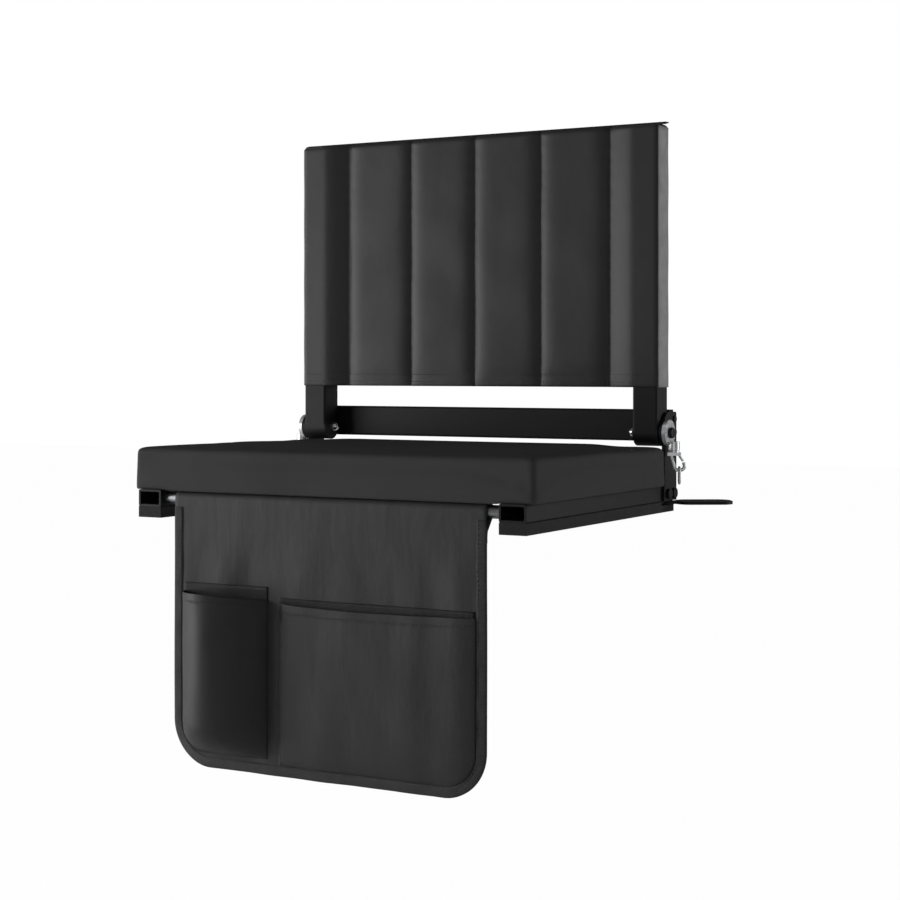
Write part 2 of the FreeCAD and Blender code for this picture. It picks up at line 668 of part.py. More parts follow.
def make_pivots():
    """Hinge bolts with washers beside the posts and dome nuts on the posts' inner faces."""
    nuts = []
    washers = []
    nut_outer = post_inner - s.nut_gap
    nut_inner = nut_outer - s.nut_height
    head_inner = eye_outer + s.clip_gap
    washer_gap = (s.side_gap - s.washer_thickness) / 2
    for side_name, side in SIDES:
        shank_across = side_span(side, nut_inner, head_inner)
        head_across = side_span(side, head_inner, head_inner + s.pivot_head_height)
        shank = bar(f"{side_name}_pivot_shank", "x", (shank_across[0], pivot_y, pivot_z),
                    head_inner - nut_inner, s.pivot_diameter)
        head = bar(f"{side_name}_pivot_head_blank", "x", (head_across[0], pivot_y, pivot_z),
                   s.pivot_head_height, s.pivot_head_diameter)
        rim_x = float(side * (head_inner + s.pivot_head_height))
        head = rounded(f"{side_name}_pivot_head", head,
                       lambda edge: s.pivot_head_height / 2 if abs(edge.BoundBox.XMin - rim_x) < TOUCH
                       and abs(edge.BoundBox.XMax - rim_x) < TOUCH else None)
        keep(f"{side_name}_pivot_bolt", fuse(f"{side_name}_pivot_bolt", [shank, head]))

        nut_across = side_span(side, nut_inner, nut_outer)
        blank = hexagon(f"{side_name}_pivot_nut_blank", "x", (nut_across[0], pivot_y, pivot_z),
                        s.nut_height, s.nut_width)
        dome = document.addObject("Part::Sphere", f"{side_name}_pivot_nut_dome")
        bind(dome, "Radius", s.nut_dome_diameter / 2)
        put(dome, side * nut_inner, pivot_y, pivot_z)
        bore = bar(f"{side_name}_pivot_nut_bore", "x", (nut_across[0], pivot_y, pivot_z), s.nut_height,
                   s.pivot_diameter + s.fixed_gap * 2)
        nuts.append(cut(f"{side_name}_pivot_nut", fuse(f"{side_name}_pivot_nut_body", [blank, dome]), [bore]))

        washer_across = side_span(side, post_outer + washer_gap, rail_outer - washer_gap)
        disc = bar(f"{side_name}_washer_disc", "x", (washer_across[0], pivot_y, pivot_z),
                   s.washer_thickness, s.washer_diameter)
        eye = bar(f"{side_name}_washer_eye", "x", (washer_across[0], pivot_y, pivot_z),
                  s.washer_thickness, s.pivot_diameter + s.running_gap * 2)
        washers.append(cut(f"{side_name}_washer", disc, [eye]))
    keep("pivot_nuts", group("pivot_nuts", nuts))
    keep("pivot_washers", group("pivot_washers", washers))


cover_foot = pivot_z + s.back_cover_lift
cover_top = cover_foot + s.back_cover_height
cover_front = post_front - s.post_wrap
cover_rear = post_rear + s.post_wrap
cover_half = post_outer + s.side_wrap
post_top = cover_top - s.cloth - s.soft_gap - s.plug_flange
top_tube_top = post_top - s.top_tube_drop
top_tube_foot = top_tube_top - s.top_tube_height
top_tube_rear = post_rear - s.post_corner
top_tube_front = top_tube_rear - s.top_tube_depth


def make_posts():
    """Square tubes on solid feet that are rounded about the hinge axis, bushed and plugged."""
    bushes = []
    plugs = []
    wall = s.post_wall
    for side_name, side in SIDES:
        across = side_span(side, post_inner, post_outer)
        hollow_across = side_span(side, post_inner + wall, post_outer - wall)
        shaft = block(f"{side_name}_post_blank", across, (post_front, post_rear), (pivot_z, post_top))
        shaft = rounded(f"{side_name}_post_shaft", shaft,
                        lambda edge: s.post_corner if along(edge, "z") else None)
        knuckle = bar(f"{side_name}_post_knuckle", "x", (across[0], pivot_y, pivot_z), s.post_size,
                      s.post_size)
        hollow = block(f"{side_name}_post_hollow", hollow_across, (post_front + wall, post_rear - wall),
                       (pivot_z, post_top))
        bush_hole = bar(f"{side_name}_post_bush_hole", "x", (across[0], pivot_y, pivot_z), s.post_size,
                        s.bush_diameter + s.fixed_gap * 2)
        outside = fuse(f"{side_name}_post_outside", [shaft, knuckle])
        keep(f"{side_name}_post", cut(f"{side_name}_post", outside, [hollow, bush_hole]))

        sleeve = bar(f"{side_name}_bush_sleeve", "x", (across[0], pivot_y, pivot_z), s.post_size,
                     s.bush_diameter)
        bore = bar(f"{side_name}_bush_bore", "x", (across[0], pivot_y, pivot_z), s.post_size,
                   s.pivot_diameter + s.running_gap * 2)
        bushes.append(cut(f"{side_name}_bush", sleeve, [bore]))

        gap = s.fixed_gap
        stem = block(f"{side_name}_plug_stem",
                     (hollow_across[0] + gap, hollow_across[1] - gap),
                     (post_front + wall + gap, post_rear - wall - gap),
                     (post_top - s.plug_depth, post_top))
        flange = block(f"{side_name}_plug_flange", across, (post_front, post_rear),
                       (post_top, post_top + s.plug_flange))
        flange = rounded(f"{side_name}_plug_cap", flange,
                         lambda edge: s.post_corner if along(edge, "z") else None)
        plugs.append(fuse(f"{side_name}_plug", [stem, flange]))
    keep("post_bushes", group("post_bushes", bushes))
    keep("post_top_plugs", group("post_top_plugs", plugs))
    top_tube = tube("back_top_tube", "YZ_Plane", s.top_tube_depth, s.top_tube_height, post_inner * 2,
                    s.top_tube_wall, s.rail_corner)
    put(top_tube, -post_inner, top_tube_front, top_tube_foot)
    keep("back_top_tube", top_tube)


def channel_edges(setback, z):
    """The quilted front from the left seam to the right one: one arc for each channel."""
    pitch = float(s.channel_pitch)
    seam_y = float(cover_front + s.seam_recess) + setback
    edges = []
    for channel in range(CHANNELS):
        left = (channel - CHANNELS / 2) * pitch
        begin = FreeCAD.Vector(left, seam_y, z)
        crest = FreeCAD.Vector(left + pitch / 2, seam_y - float(s.channel_bulge), z)
        end = FreeCAD.Vector(left + pitch, seam_y, z)
        edges.append(Part.Arc(begin, crest, end).toShape())
    return edges


def prism(front_edges, corners, height):
    """Closes a run of front edges through further corners and raises it."""
    edges = list(front_edges)
    path = [front_edges[-1].Vertexes[-1].Point] + corners + [front_edges[0].Vertexes[0].Point]
    for begin, end in zip(path, path[1:]):
        edges.append(Part.LineSegment(begin, end).toShape())
    return Part.Face(Part.Wire(edges)).extrude(FreeCAD.Vector(0, 0, height))


def corner(x, y, z):
    return FreeCAD.Vector(x, y, z)


def make_back_cover():
    """A sleeve over the posts with a channelled panel between them, padded by a foam sheet."""
    cloth = float(s.cloth)
    gap = float(s.soft_gap)
    foot = float(cover_foot)
    half = float(cover_half)
    front = float(cover_front)
    rear = float(cover_rear)
    inner = float(post_inner)

    outline = [corner(inner, front, foot), corner(half, front, foot), corner(half, rear, foot),
               corner(-half, rear, foot), corner(-half, front, foot), corner(-inner, front, foot)]
    cover = prism(channel_edges(0, foot), outline, float(s.back_cover_height))

    seam = float(s.channel_pitch) * CHANNELS / 2
    hollow_foot = foot + cloth
    hollow_rear = rear - cloth
    hollow = prism(channel_edges(cloth, hollow_foot),
                   [corner(seam, hollow_rear, hollow_foot), corner(-seam, hollow_rear, hollow_foot)],
                   float(top_tube_top) - hollow_foot)
    foam_foot = hollow_foot + gap
    foam_rear = hollow_rear - gap
    foam = prism(channel_edges(cloth + gap, foam_foot),
                 [corner(seam, foam_rear, foam_foot), corner(-seam, foam_rear, foam_foot)],
                 float(top_tube_foot) - gap - foam_foot)
    side_trim = Part.makeBox((seam - gap) * 2, rear - front, float(s.back_cover_height),
                             corner(gap - seam, front, foot))
    keep("back_foam", feature("back_foam", foam.common(side_trim)))

    tunnel = Part.makeBox(inner * 2, float(s.top_tube_depth) + gap * 2, float(s.top_tube_height) + gap * 2,
                          corner(-inner, float(top_tube_front) - gap, float(top_tube_foot) - gap))
    cover = cover.cut(hollow).cut(tunnel)
    pocket = float(s.post_size) + gap * 2
    for side_name, side in SIDES:
        across = side_span(side, inner - gap, float(post_outer) + gap)
        room = Part.makeBox(pocket, pocket, float(cover_top) - cloth - foot,
                            corner(across[0], float(post_front) - gap, foot))
        cover = cover.cut(room)
    keep("back_cover", feature("back_cover", cover))

    gussets = []
    for side_name, side in SIDES:
        across = side_span(side, cover_half, cover_half + s.gusset_thickness)
        gussets.append(block(f"{side_name}_gusset", across,
                             (cover_front + s.gusset_inset, cover_rear - s.gusset_inset),
                             (cover_foot, cover_top)))
    keep("back_side_gussets", group("back_side_gussets", gussets))
    reach = cover_half + s.gusset_thickness + s.piping_end
    piping_ys = (pivot_y - s.piping_depth / 2, pivot_y + s.piping_depth / 2)
    keep("back_top_piping", block("back_top_piping", (-reach, reach), piping_ys,
                                  (cover_top, cover_top + s.piping_height)))


apron_half = s.apron_width / 2
apron_front = rod_y - s.rod_diameter / 2 - s.soft_gap - s.apron_cloth
apron_foot = rod_z - s.apron_drop


def hanging_plate(name, inset, ys, top, corner):
    """A plate with round lower corners, inset from the apron's outline."""
    blank = block(f"{name}_blank", (-(apron_half - inset), apron_half - inset), ys, (apron_foot + inset, top))
    foot = float(apron_foot + inset)
    return rounded(name, blank,
                   lambda edge: corner if along(edge, "y") and edge.BoundBox.ZMax < foot + TOUCH else None)


def make_apron():
    """A cloth panel on a sleeve round the front rod, bound with tape on three sides."""
    none = as_size(0)
    plate = hanging_plate("apron_plate", none, (apron_front, apron_front + s.apron_cloth), rod_z,
                          s.apron_corner)
    bore = s.rod_diameter + s.soft_gap * 2
    sleeve = bar("apron_sleeve", "x", (-apron_half, rod_y, rod_z), s.apron_width, bore + s.apron_cloth * 2)
    rod_room = bar("apron_sleeve_bore", "x", (-apron_half, rod_y, rod_z), s.apron_width, bore)
    keep("apron_panel", cut("apron_panel", fuse("apron_cloth", [plate, sleeve]), [rod_room]))

    tape_ys = (apron_front - s.binding_thickness, apron_front)
    tape_top = rod_z - bore / 2 - s.apron_cloth
    tape = hanging_plate("binding_outside", none, tape_ys, tape_top, s.apron_corner)
    window = hanging_plate("binding_window", s.binding_width, tape_ys, tape_top,
                           s.apron_corner - s.binding_width)
    keep("apron_binding", cut("apron_binding", tape, [window]))


def bulged_prism(left, right, bulge, foot, top):
    """An upright prism whose front is one arc and whose back lies on the apron's face."""
    y = float(apron_front)
    begin = FreeCAD.Vector(left, y, foot)
    crest = FreeCAD.Vector((left + right) / 2, y - bulge, foot)
    end = FreeCAD.Vector(right, y, foot)
    edges = [Part.Arc(begin, crest, end).toShape(), Part.LineSegment(end, begin).toShape()]
    return Part.Face(Part.Wire(edges)).extrude(FreeCAD.Vector(0, 0, top - foot))


def pocket_room(inset, depth):
    """The space ahead of the apron's face inside an inset copy of its outline."""
    half = float(apron_half) - inset
    foot = float(apron_foot) + inset
    height = float(rod_z) - foot
    front = float(apron_front) - depth
    room = Part.makeBox(half * 2, depth, height, FreeCAD.Vector(-half, front, foot))
    lower = [edge for edge in room.Edges if along(edge, "y") and edge.BoundBox.ZMax < foot + TOUCH]
    return room.makeFillet(float(s.apron_corner) - inset, lower)


def pocket(left, width, bulge, drop, depth, sag):
    """A sewn pocket, open at the top, whose lip falls towards the front."""
    cloth = float(s.apron_cloth)
    top = float(rod_z) - drop
    foot = top - depth
    right = left + width
    margin = float(s.binding_width + s.pocket_margin)
    outside = bulged_prism(left, right, bulge, foot, top).common(pocket_room(margin, bulge + cloth))
    inside = bulged_prism(left + cloth, right - cloth, bulge - cloth, foot + cloth, top)
    inside = inside.common(pocket_room(margin + cloth, bulge))
    y = float(apron_front)
    wedge = [FreeCAD.Vector(left, y, top), FreeCAD.Vector(left, y - bulge, top - sag),
             FreeCAD.Vector(left, y - bulge, top), FreeCAD.Vector(left, y, top)]
    lip = Part.Face(Part.makePolygon(wedge)).extrude(FreeCAD.Vector(width, 0, 0))
    return outside.cut(inside).cut(lip)


def make_pockets():
    """A round pocket for a cup and a wide flat one beside it."""
    cup_left = float(s.cup_inset - apron_half)
    keep("cup_pocket", feature("cup_pocket", pocket(cup_left, float(s.cup_width), float(s.cup_bulge),
                                                    float(s.cup_drop), float(s.cup_depth),
                                                    float(s.cup_sag))))
    flat_left = float(apron_half - s.flat_inset - s.flat_width)
    keep("flat_pocket", feature("flat_pocket", pocket(flat_left, float(s.flat_width), float(s.flat_bulge),
                                                      float(s.flat_drop), float(s.flat_depth),
                                                      float(s.flat_sag))))


def make_bench_hooks():
    """Flat plates that swing out from under the rails' rear ends on upright rivets."""
    rivets = []
    flat = (as_size(0), s.hook_thickness)
    neck = s.hook_neck_width
    blade_end = s.hook_neck_length + s.hook_blade_length
    for side_name, side in SIDES:
        eye = bar(f"{side_name}_hook_eye", "z", (0, 0, 0), s.hook_thickness, s.hook_eye_diameter)
        arm = block(f"{side_name}_hook_neck", (as_size(0), s.hook_neck_length + s.hook_blade_corner),
                    (-neck / 2, neck / 2), flat)
        blade = block(f"{side_name}_hook_blade_blank", (s.hook_neck_length, blade_end),
                      (-s.hook_blade_width / 2, s.hook_blade_width / 2), flat)
        blade = rounded(f"{side_name}_hook_blade", blade,
                        lambda edge: s.hook_blade_corner if along(edge, "z") else None)
        hole = bar(f"{side_name}_hook_hole", "z", (0, 0, 0), s.hook_thickness,
                   s.hook_rivet_diameter + s.running_gap * 2)
        plate = cut(f"{side_name}_bench_hook", fuse(f"{side_name}_hook_outline", [eye, arm, blade]), [hole])
        turn = s.hook_turn if side > 0 else as_size(180) - s.hook_turn
        plate.Placement = FreeCAD.Placement(FreeCAD.Vector(),
                                            FreeCAD.Rotation(FreeCAD.Vector(0, 0, 1), float(turn)))
        bind(plate, "Placement.Rotation.Angle", turn)
        put(plate, side * rail_middle, hook_y, hook_foot)
        keep(f"{side_name}_bench_hook", plate)

        x = side * rail_middle
        head_top = hook_foot - s.hook_gap
        inside = tube_foot + s.rail_wall
        shank = bar(f"{side_name}_hook_rivet_shank", "z", (x, hook_y, head_top), inside - head_top,
                    s.hook_rivet_diameter)
        lower = bar(f"{side_name}_hook_rivet_foot", "z", (x, hook_y, head_top - s.hook_rivet_head_height),
                    s.hook_rivet_head_height, s.hook_rivet_head_diameter)
        upper = bar(f"{side_name}_hook_rivet_head", "z", (x, hook_y, inside), s.hook_rivet_head_height,
                    s.hook_rivet_head_diameter)
        rivets.append(fuse(f"{side_name}_hook_rivet", [shank, lower, upper]))
    keep("bench_hook_rivets", group("bench_hook_rivets", rivets))


def make_clip_eyes():
    """Eyes that hang on the hinge bolts, each with a barrel for its hook's stem."""
    bore_height = s.clip_barrel_lip
    room_height = s.clip_stem_head_height + s.clip_end_gap * 2
    for side_name, side in SIDES:
        across = side_span(side, eye_inner, eye_outer)
        foot = (side * barrel_x, pivot_y, barrel_foot)
        ring = bar(f"{side_name}_eye_ring", "x", (across[0], pivot_y, pivot_z), s.clip_eye_thickness,
                   s.clip_eye_diameter)
        barrel = bar(f"{side_name}_eye_barrel", "z", foot, s.clip_barrel_height, s.clip_barrel_diameter)
        hole = bar(f"{side_name}_eye_hole", "x", (across[0], pivot_y, pivot_z), s.clip_eye_thickness,
                   s.pivot_diameter + s.running_gap * 2)
        bore = bar(f"{side_name}_barrel_bore", "z", foot, bore_height,
                   s.clip_stem_diameter + s.running_gap * 2)
        room = bar(f"{side_name}_barrel_room", "z", (foot[0], foot[1], barrel_foot + bore_height),
                   room_height, s.clip_stem_head_diameter + s.clip_end_gap * 2)
        body = fuse(f"{side_name}_eye_body", [ring, barrel])
        keep(f"{side_name}_clip_eye", cut(f"{side_name}_clip_eye", body, [hole, bore, room]))


def bent_path(points, radius):
    """Straight runs joined by tangent arcs."""
    edges = []
    start = points[0]
    for before, corner, after in zip(points, points[1:], points[2:]):
        arriving = FreeCAD.Vector(corner - before).normalize()
        leaving = FreeCAD.Vector(after - corner).normalize()
        half_turn = arriving.getAngle(leaving) / 2
        run = radius * math.tan(half_turn)
        begin = corner - arriving * run
        end = corner + leaving * run
        inward = FreeCAD.Vector(leaving - arriving).normalize()
        middle = corner + inward * (radius / math.cos(half_turn) - radius)
        edges.append(Part.LineSegment(start, begin).toShape())
        edges.append(Part.Arc(begin, middle, end).toShape())
        start = end
    edges.append(Part.LineSegment(start, points[-1]).toShape())
    return Part.Wire(edges)


def wire_rod(path, start, direction, diameter):
    """Round wire of one diameter along a path."""
    ring = Part.Wire(Part.Circle(start, direction, diameter / 2).toShape())
    return path.makePipeShell([ring], True, False)


def hang_at_barrel(name, side, shape):
    """Hangs a piece, made in the clip's own frame with X across its face, at one side of the seat."""
    if side < 0:
        shape = shape.mirror(FreeCAD.Vector(), FreeCAD.Vector(1, 0, 0))
    turn = FreeCAD.Rotation(FreeCAD.Vector(0, 0, 1), side * float(s.clip_turn))
    item = feature(name, shape, FreeCAD.Placement(FreeCAD.Vector(), turn))
    put(item, side * barrel_x, pivot_y, barrel_foot)
    return item


def clip_points():
    """Root, foot, bend and tip of a clip hook's wire in the clip's own frame."""
    root_x = float(s.clip_block_edge) + float(s.clip_wire) / 2 - float(s.clip_block_width) / 2
    root_z = -float(s.clip_collar_height) - float(s.clip_end_gap)
    foot_x = root_x + float(s.clip_lean)
    bend_x = foot_x + float(s.clip_reach)
    foot_z = -float(s.clip_drop)
    root = FreeCAD.Vector(root_x, 0, root_z)
    foot = FreeCAD.Vector(foot_x, 0, foot_z)
    bend = FreeCAD.Vector(bend_x, 0, foot_z)
    tip = FreeCAD.Vector(bend_x - float(s.clip_tip_lean), 0, foot_z + float(s.clip_tip_rise))
    return root, foot, bend, tip


def make_clip_hooks():
    """Snap hooks: a collar with its swivel stem, a bent wire, a sprung gate and its pin."""
    up = FreeCAD.Vector(0, 0, 1)
    through = FreeCAD.Vector(0, 1, 0)
    gap = float(s.clip_end_gap)
    collar_foot = -gap - float(s.clip_collar_height)
    head_foot = float(s.clip_barrel_lip) + gap
    depth = float(s.clip_block_depth)
    collar = Part.makeCylinder(float(s.clip_collar_diameter) / 2, float(s.clip_collar_height),
                               FreeCAD.Vector(0, 0, collar_foot), up)
    stem = Part.makeCylinder(float(s.clip_stem_diameter) / 2, head_foot + gap,
                             FreeCAD.Vector(0, 0, -gap), up)
    head = Part.makeCylinder(float(s.clip_stem_head_diameter) / 2, float(s.clip_stem_head_height),
                             FreeCAD.Vector(0, 0, head_foot), up)
    width = float(s.clip_block_width)
    height = float(s.clip_block_height)
    root_block = Part.makeBox(width, depth, height,
                              FreeCAD.Vector(-width / 2, -depth / 2, collar_foot - height))
    points = clip_points()
    wire = wire_rod(bent_path(points, float(s.clip_bend)), points[0], points[1] - points[0],
                    float(s.clip_wire))

    pin_place = FreeCAD.Vector(float(s.gate_pin_out), -depth / 2, -float(s.gate_pin_drop))
    knuckle = float(s.gate_knuckle_diameter) / 2
    slot_depth = float(s.gate_knuckle_width) + gap * 2
    slot_left = pin_place.x - knuckle - gap
    slot = Part.makeBox(width, slot_depth, height, FreeCAD.Vector(slot_left, -slot_depth / 2,
                                                                  collar_foot - height))
    pin_radius = float(s.gate_pin_diameter) / 2
    pin_hole = Part.makeCylinder(pin_radius + float(s.fixed_gap), depth, pin_place, through)
    hook = collar.fuse([stem, head, root_block, wire]).removeSplitter().cut(slot).cut(pin_hole)
    pin = Part.makeCylinder(pin_radius, depth, pin_place, through)

    tip = points[-1]
    centre = FreeCAD.Vector(pin_place.x, 0, pin_place.z)
    reach = FreeCAD.Vector(tip - centre)
    length = reach.Length - float(s.gate_tip_gap)
    finger = Part.makeCylinder(float(s.gate_wire) / 2, length, centre, reach)
    eye_start = FreeCAD.Vector(centre.x, -float(s.gate_knuckle_width) / 2, centre.z)
    eye = Part.makeCylinder(knuckle, float(s.gate_knuckle_width), eye_start, through)
    eye_hole = Part.makeCylinder(pin_radius + float(s.running_gap), float(s.gate_knuckle_width), eye_start,
                                 through)
    gate = finger.fuse(eye).removeSplitter().cut(eye_hole)

    link = strap_link(points)
    for side_name, side in SIDES:
        for label, shape in (("clip_hook", hook), ("gate_pin", pin), ("clip_gate", gate),
                             ("strap_link", link)):
            name = f"{side_name}_{label}"
            keep(name, hang_at_barrel(name, side, shape))


def strap_link(points):
    """An oval link that hangs through the hook's bend, square to the hook's face."""
    foot, bend = points[1], points[2]
    first_turn = math.pi / 2 - math.atan2(float(s.clip_lean), foot.z * -1 + points[0].z)
    second_turn = math.pi / 2 + math.atan2(float(s.clip_tip_lean), float(s.clip_tip_rise))
    radius = float(s.clip_bend)
    low = foot.x + radius * math.tan(first_turn / 2)
    high = bend.x - radius * math.tan(second_turn / 2)
    x = (low + high) / 2
    top = foot.z + (float(s.clip_wire) + float(s.link_wire)) / 2 + float(s.clip_end_gap) / 2
    half = float(s.link_width) / 2
    upper = top - half
    lower = top - float(s.link_height) + half
    front_low = FreeCAD.Vector(x, -half, lower)
    front_high = FreeCAD.Vector(x, -half, upper)
    rear_low = FreeCAD.Vector(x, half, lower)
    rear_high = FreeCAD.Vector(x, half, upper)
    path = Part.Wire([
        Part.LineSegment(front_low, front_high).toShape(),
        Part.Arc(front_high, FreeCAD.Vector(x, 0, upper + half), rear_high).toShape(),
        Part.LineSegment(rear_high, rear_low).toShape(),
        Part.Arc(rear_low, FreeCAD.Vector(x, 0, lower - half), front_low).toShape(),
    ])
    return wire_rod(path, front_low, FreeCAD.Vector(0, 0, 1), float(s.link_wire))


def check_and_write():
    """Stops on a failed object or a bad shape, then writes one file for each piece."""
    document.recompute()
    for item in document.Objects:
        if "Invalid" in item.State or "Error" in item.State:
            raise RuntimeError(f"{item.Label} failed: {item.State}")
    for name, item in nodes.items():
        if item.Shape.isNull() or not item.Shape.isValid() or not item.Shape.Solids:
            raise RuntimeError(f"{name} has no valid solid")
    os.makedirs("parts", exist_ok=True)
    for name, item in nodes.items():
        item.Shape.exportStep(os.path.join("parts", f"{name}.step"))
        print(name, len(item.Shape.Solids), round(item.Shape.Volume, 1))


make_rails()
make_cross_members()
make_seat()
make_hinge_ears()
make_ear_bolts()
make_backstop()
make_pivots()
make_posts()
make_back_cover()
make_apron()
make_pockets()
make_bench_hooks()
make_clip_eyes()
make_clip_hooks()
check_and_write()
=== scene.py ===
"""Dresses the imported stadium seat: a padded bench seat with a folding back and a pocketed apron."""

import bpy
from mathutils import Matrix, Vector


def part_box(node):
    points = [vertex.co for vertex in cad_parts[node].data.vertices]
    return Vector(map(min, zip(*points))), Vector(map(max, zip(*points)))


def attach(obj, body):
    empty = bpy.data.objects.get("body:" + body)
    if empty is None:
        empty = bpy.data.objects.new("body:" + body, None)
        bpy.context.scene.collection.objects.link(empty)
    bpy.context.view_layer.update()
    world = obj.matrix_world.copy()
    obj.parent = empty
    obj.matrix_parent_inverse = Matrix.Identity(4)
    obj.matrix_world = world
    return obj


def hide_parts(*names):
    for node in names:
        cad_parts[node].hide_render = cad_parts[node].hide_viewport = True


bl_info = {
    "name": "Stadium Seat",
    "version": (1, 0, 0),
    "blender": (4, 5, 0),
    "location": "View3D > Sidebar > Seat",
    "description": "Builds the covers, pads, pockets and finishes of a folding stadium seat",
    "category": "Object",
}

import math
from functools import lru_cache

import bmesh
import bpy
import numpy as np
from mathutils import Vector, noise

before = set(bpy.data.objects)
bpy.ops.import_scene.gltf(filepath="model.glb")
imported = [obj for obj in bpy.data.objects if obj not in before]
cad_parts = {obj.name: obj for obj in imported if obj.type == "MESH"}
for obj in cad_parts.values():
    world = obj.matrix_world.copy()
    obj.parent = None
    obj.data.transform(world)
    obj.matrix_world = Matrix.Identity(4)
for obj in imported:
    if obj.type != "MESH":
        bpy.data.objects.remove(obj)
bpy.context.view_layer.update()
MM = 0.001
SIDES = (("left", -1), ("right", 1))


@lru_cache(maxsize=None)
def node_box(node):
    """The lowest and highest corner of a part, looked up once."""
    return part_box(node)


def linear(hex_text, alpha=1.0):
    """An sRGB hex colour as linear red, green, blue and alpha."""
    channels = [int(hex_text[i:i + 2], 16) / 255 for i in (1, 3, 5)]
    straight = [c / 12.92 if c <= 0.04045 else ((c + 0.055) / 1.055) ** 2.4 for c in channels]
    return (*straight, alpha)


def length(name, description, millimetres):
    """A size that a user may change."""
    return bpy.props.FloatProperty(name=name, description=description, default=millimetres * MM,
                                   min=0.0, unit="LENGTH", precision=4)


def colour(name, description, hex_text):
    """A colour that a user may change."""
    return bpy.props.FloatVectorProperty(name=name, description=description, default=linear(hex_text),
                                         size=4, min=0.0, max=1.0, subtype="COLOR")


class SeatSizes(bpy.types.PropertyGroup):
    """Sizes of the sewn pieces that the frame's boxes don't give."""

    cloth: length("Cover cloth", "Thickness of the sewn covers", 1.2)
    cushion_corner: length("Cushion corner", "Rounding of the cushion's upright corners", 7)
    rear_corner: length("Rear corner", "Rounding of the cushion's corners beside the hinges", 14)
    cushion_edge: length("Cushion edge", "Rounding of the cushion's top edge", 5)
    cushion_crown: length("Cushion crown", "Rise of the cushion's top to its middle", 0.8)
    crown_run: length("Crown run", "Distance from the rim in which the crown rises", 70)
    cushion_draw: length("Cushion draw", "How far each side is drawn in at its middle", 1.2)
    channel_pitch: length("Channel pitch", "Distance between the back's seams", 81)
    channel_bulge: length("Channel bulge", "How far a channel swells ahead of its seams", 4)
    seam_recess: length("Seam recess", "Seams behind the cover's front over the posts", 9)
    back_edge: length("Back edge", "Rounding of the back cover's top edge", 5)
    apron_corner: length("Apron corner", "Rounding of the apron's lower corners", 45)
    tape_width: length("Tape width", "Width of the tape round the apron", 10)
    tape_thickness: length("Tape thickness", "Thickness of the tape", 0.8)
    pocket_margin: length("Pocket margin", "Between the tape and the pockets", 0.6)
    # The pockets' facing in these sizes is a black strip on the panel, painted shade of the pockets' mouths.
    cup_sag: length("Cup lip sag", "How far the cup pocket's lip hangs below its facing", 8.5)
    cup_foot: length("Cup foot", "Height in which the cup pocket swells from its foot", 36)
    flat_sag: length("Flat lip sag", "How far the flat pocket's lip sags at its middle", 2)
    mouth_shade_rise: length("Facing rise", "How far the flat pocket's facing shows above it", 4)
    hem_width: length("Hem", "Width of the pockets' folded hems", 9)
    stitch_length: length("Stitch length", "Length of one stitch", 3.0)
    stitch_pitch: length("Stitch pitch", "Distance from one stitch to the next", 4.2)
    stitch_thickness: length("Stitch thickness", "Thickness of the thread", 0.55)


class SeatColours(bpy.types.PropertyGroup):
    """Colours of the finishes."""

    seat_cloth: colour("Seat cloth", "Coated polyester of the cushion", "#464647")
    back_cloth: colour("Back cloth", "Polyester of the back cover", "#29292a")
    apron_cloth: colour("Apron cloth", "Nylon of the apron and its pockets", "#383839")
    tape: colour("Binding tape", "Grosgrain tape round the apron", "#3a3a3b")
    gusset: colour("Side gusset", "Grey webbing on the back's sides", "#a2a2a3")
    # This black also paints the shade strip above the pockets' lips.
    piping: colour("Piping", "Flange along the back's top edge", "#161617")
    steel: colour("Powder coat", "Black powder coat of the frame", "#121213")
    rubber: colour("Rubber", "Strips under the rails", "#29292b")
    thread: colour("Thread", "Sewing thread", "#353536")
    chrome: colour("Chrome", "Plating of the clips and the nuts", "#e9eaec")
    zinc: colour("Zinc", "Plating of the rod and the screws", "#96989a")
    nylon: colour("Nylon", "Bushes, washers and plugs", "#1b1b1c")
    plywood: colour("Plywood", "Seat board", "#b48a5a")


def sizes():
    return bpy.context.scene.seat_sizes


def colours():
    return bpy.context.scene.seat_colours


# Materials

def new_material(name):
    """An empty node tree with its output and one principled shader."""
    material = bpy.data.materials.new(name)
    material.use_nodes = True
    tree = material.node_tree
    tree.nodes.clear()
    shader = tree.nodes.new("ShaderNodeBsdfPrincipled")
    output = tree.nodes.new("ShaderNodeOutputMaterial")
    tree.links.new(shader.outputs["BSDF"], output.inputs["Surface"])
    return material, tree, shader


def feed(tree, node, **inputs):
    """Gives a node's inputs a value or a link each.

    An input is named by its socket, with _ for a space, or by i and its number.
    """
    for key, value in inputs.items():
        numbered = key[0] == "i" and key[1:].isdigit()
        socket = node.inputs[int(key[1:]) if numbered else key.replace("_", " ")]
        if isinstance(value, bpy.types.NodeSocket):
            tree.links.new(value, socket)
        else:
            socket.default_value = value


def add(tree, kind, settings=(), **inputs):
    """Adds a node with its settings and its inputs."""
    node = tree.nodes.new(kind)
    for key, value in dict(settings).items():
        setattr(node, key, value)
    feed(tree, node, **inputs)
    return node


def tint(tree, base, factor, low, high):
    """The base colour times a grey that runs from low to high with factor."""
    shade = add(tree, "ShaderNodeMapRange", From_Min=0.3, From_Max=0.7, To_Min=low, To_Max=high,
                Value=factor)
    mixed = add(tree, "ShaderNodeMix", {"data_type": "RGBA", "blend_type": "MULTIPLY"}, Factor=1.0)
    mixed.inputs[6].default_value = base
    tree.links.new(shade.outputs["Result"], mixed.inputs[7])
    return mixed.outputs[2]


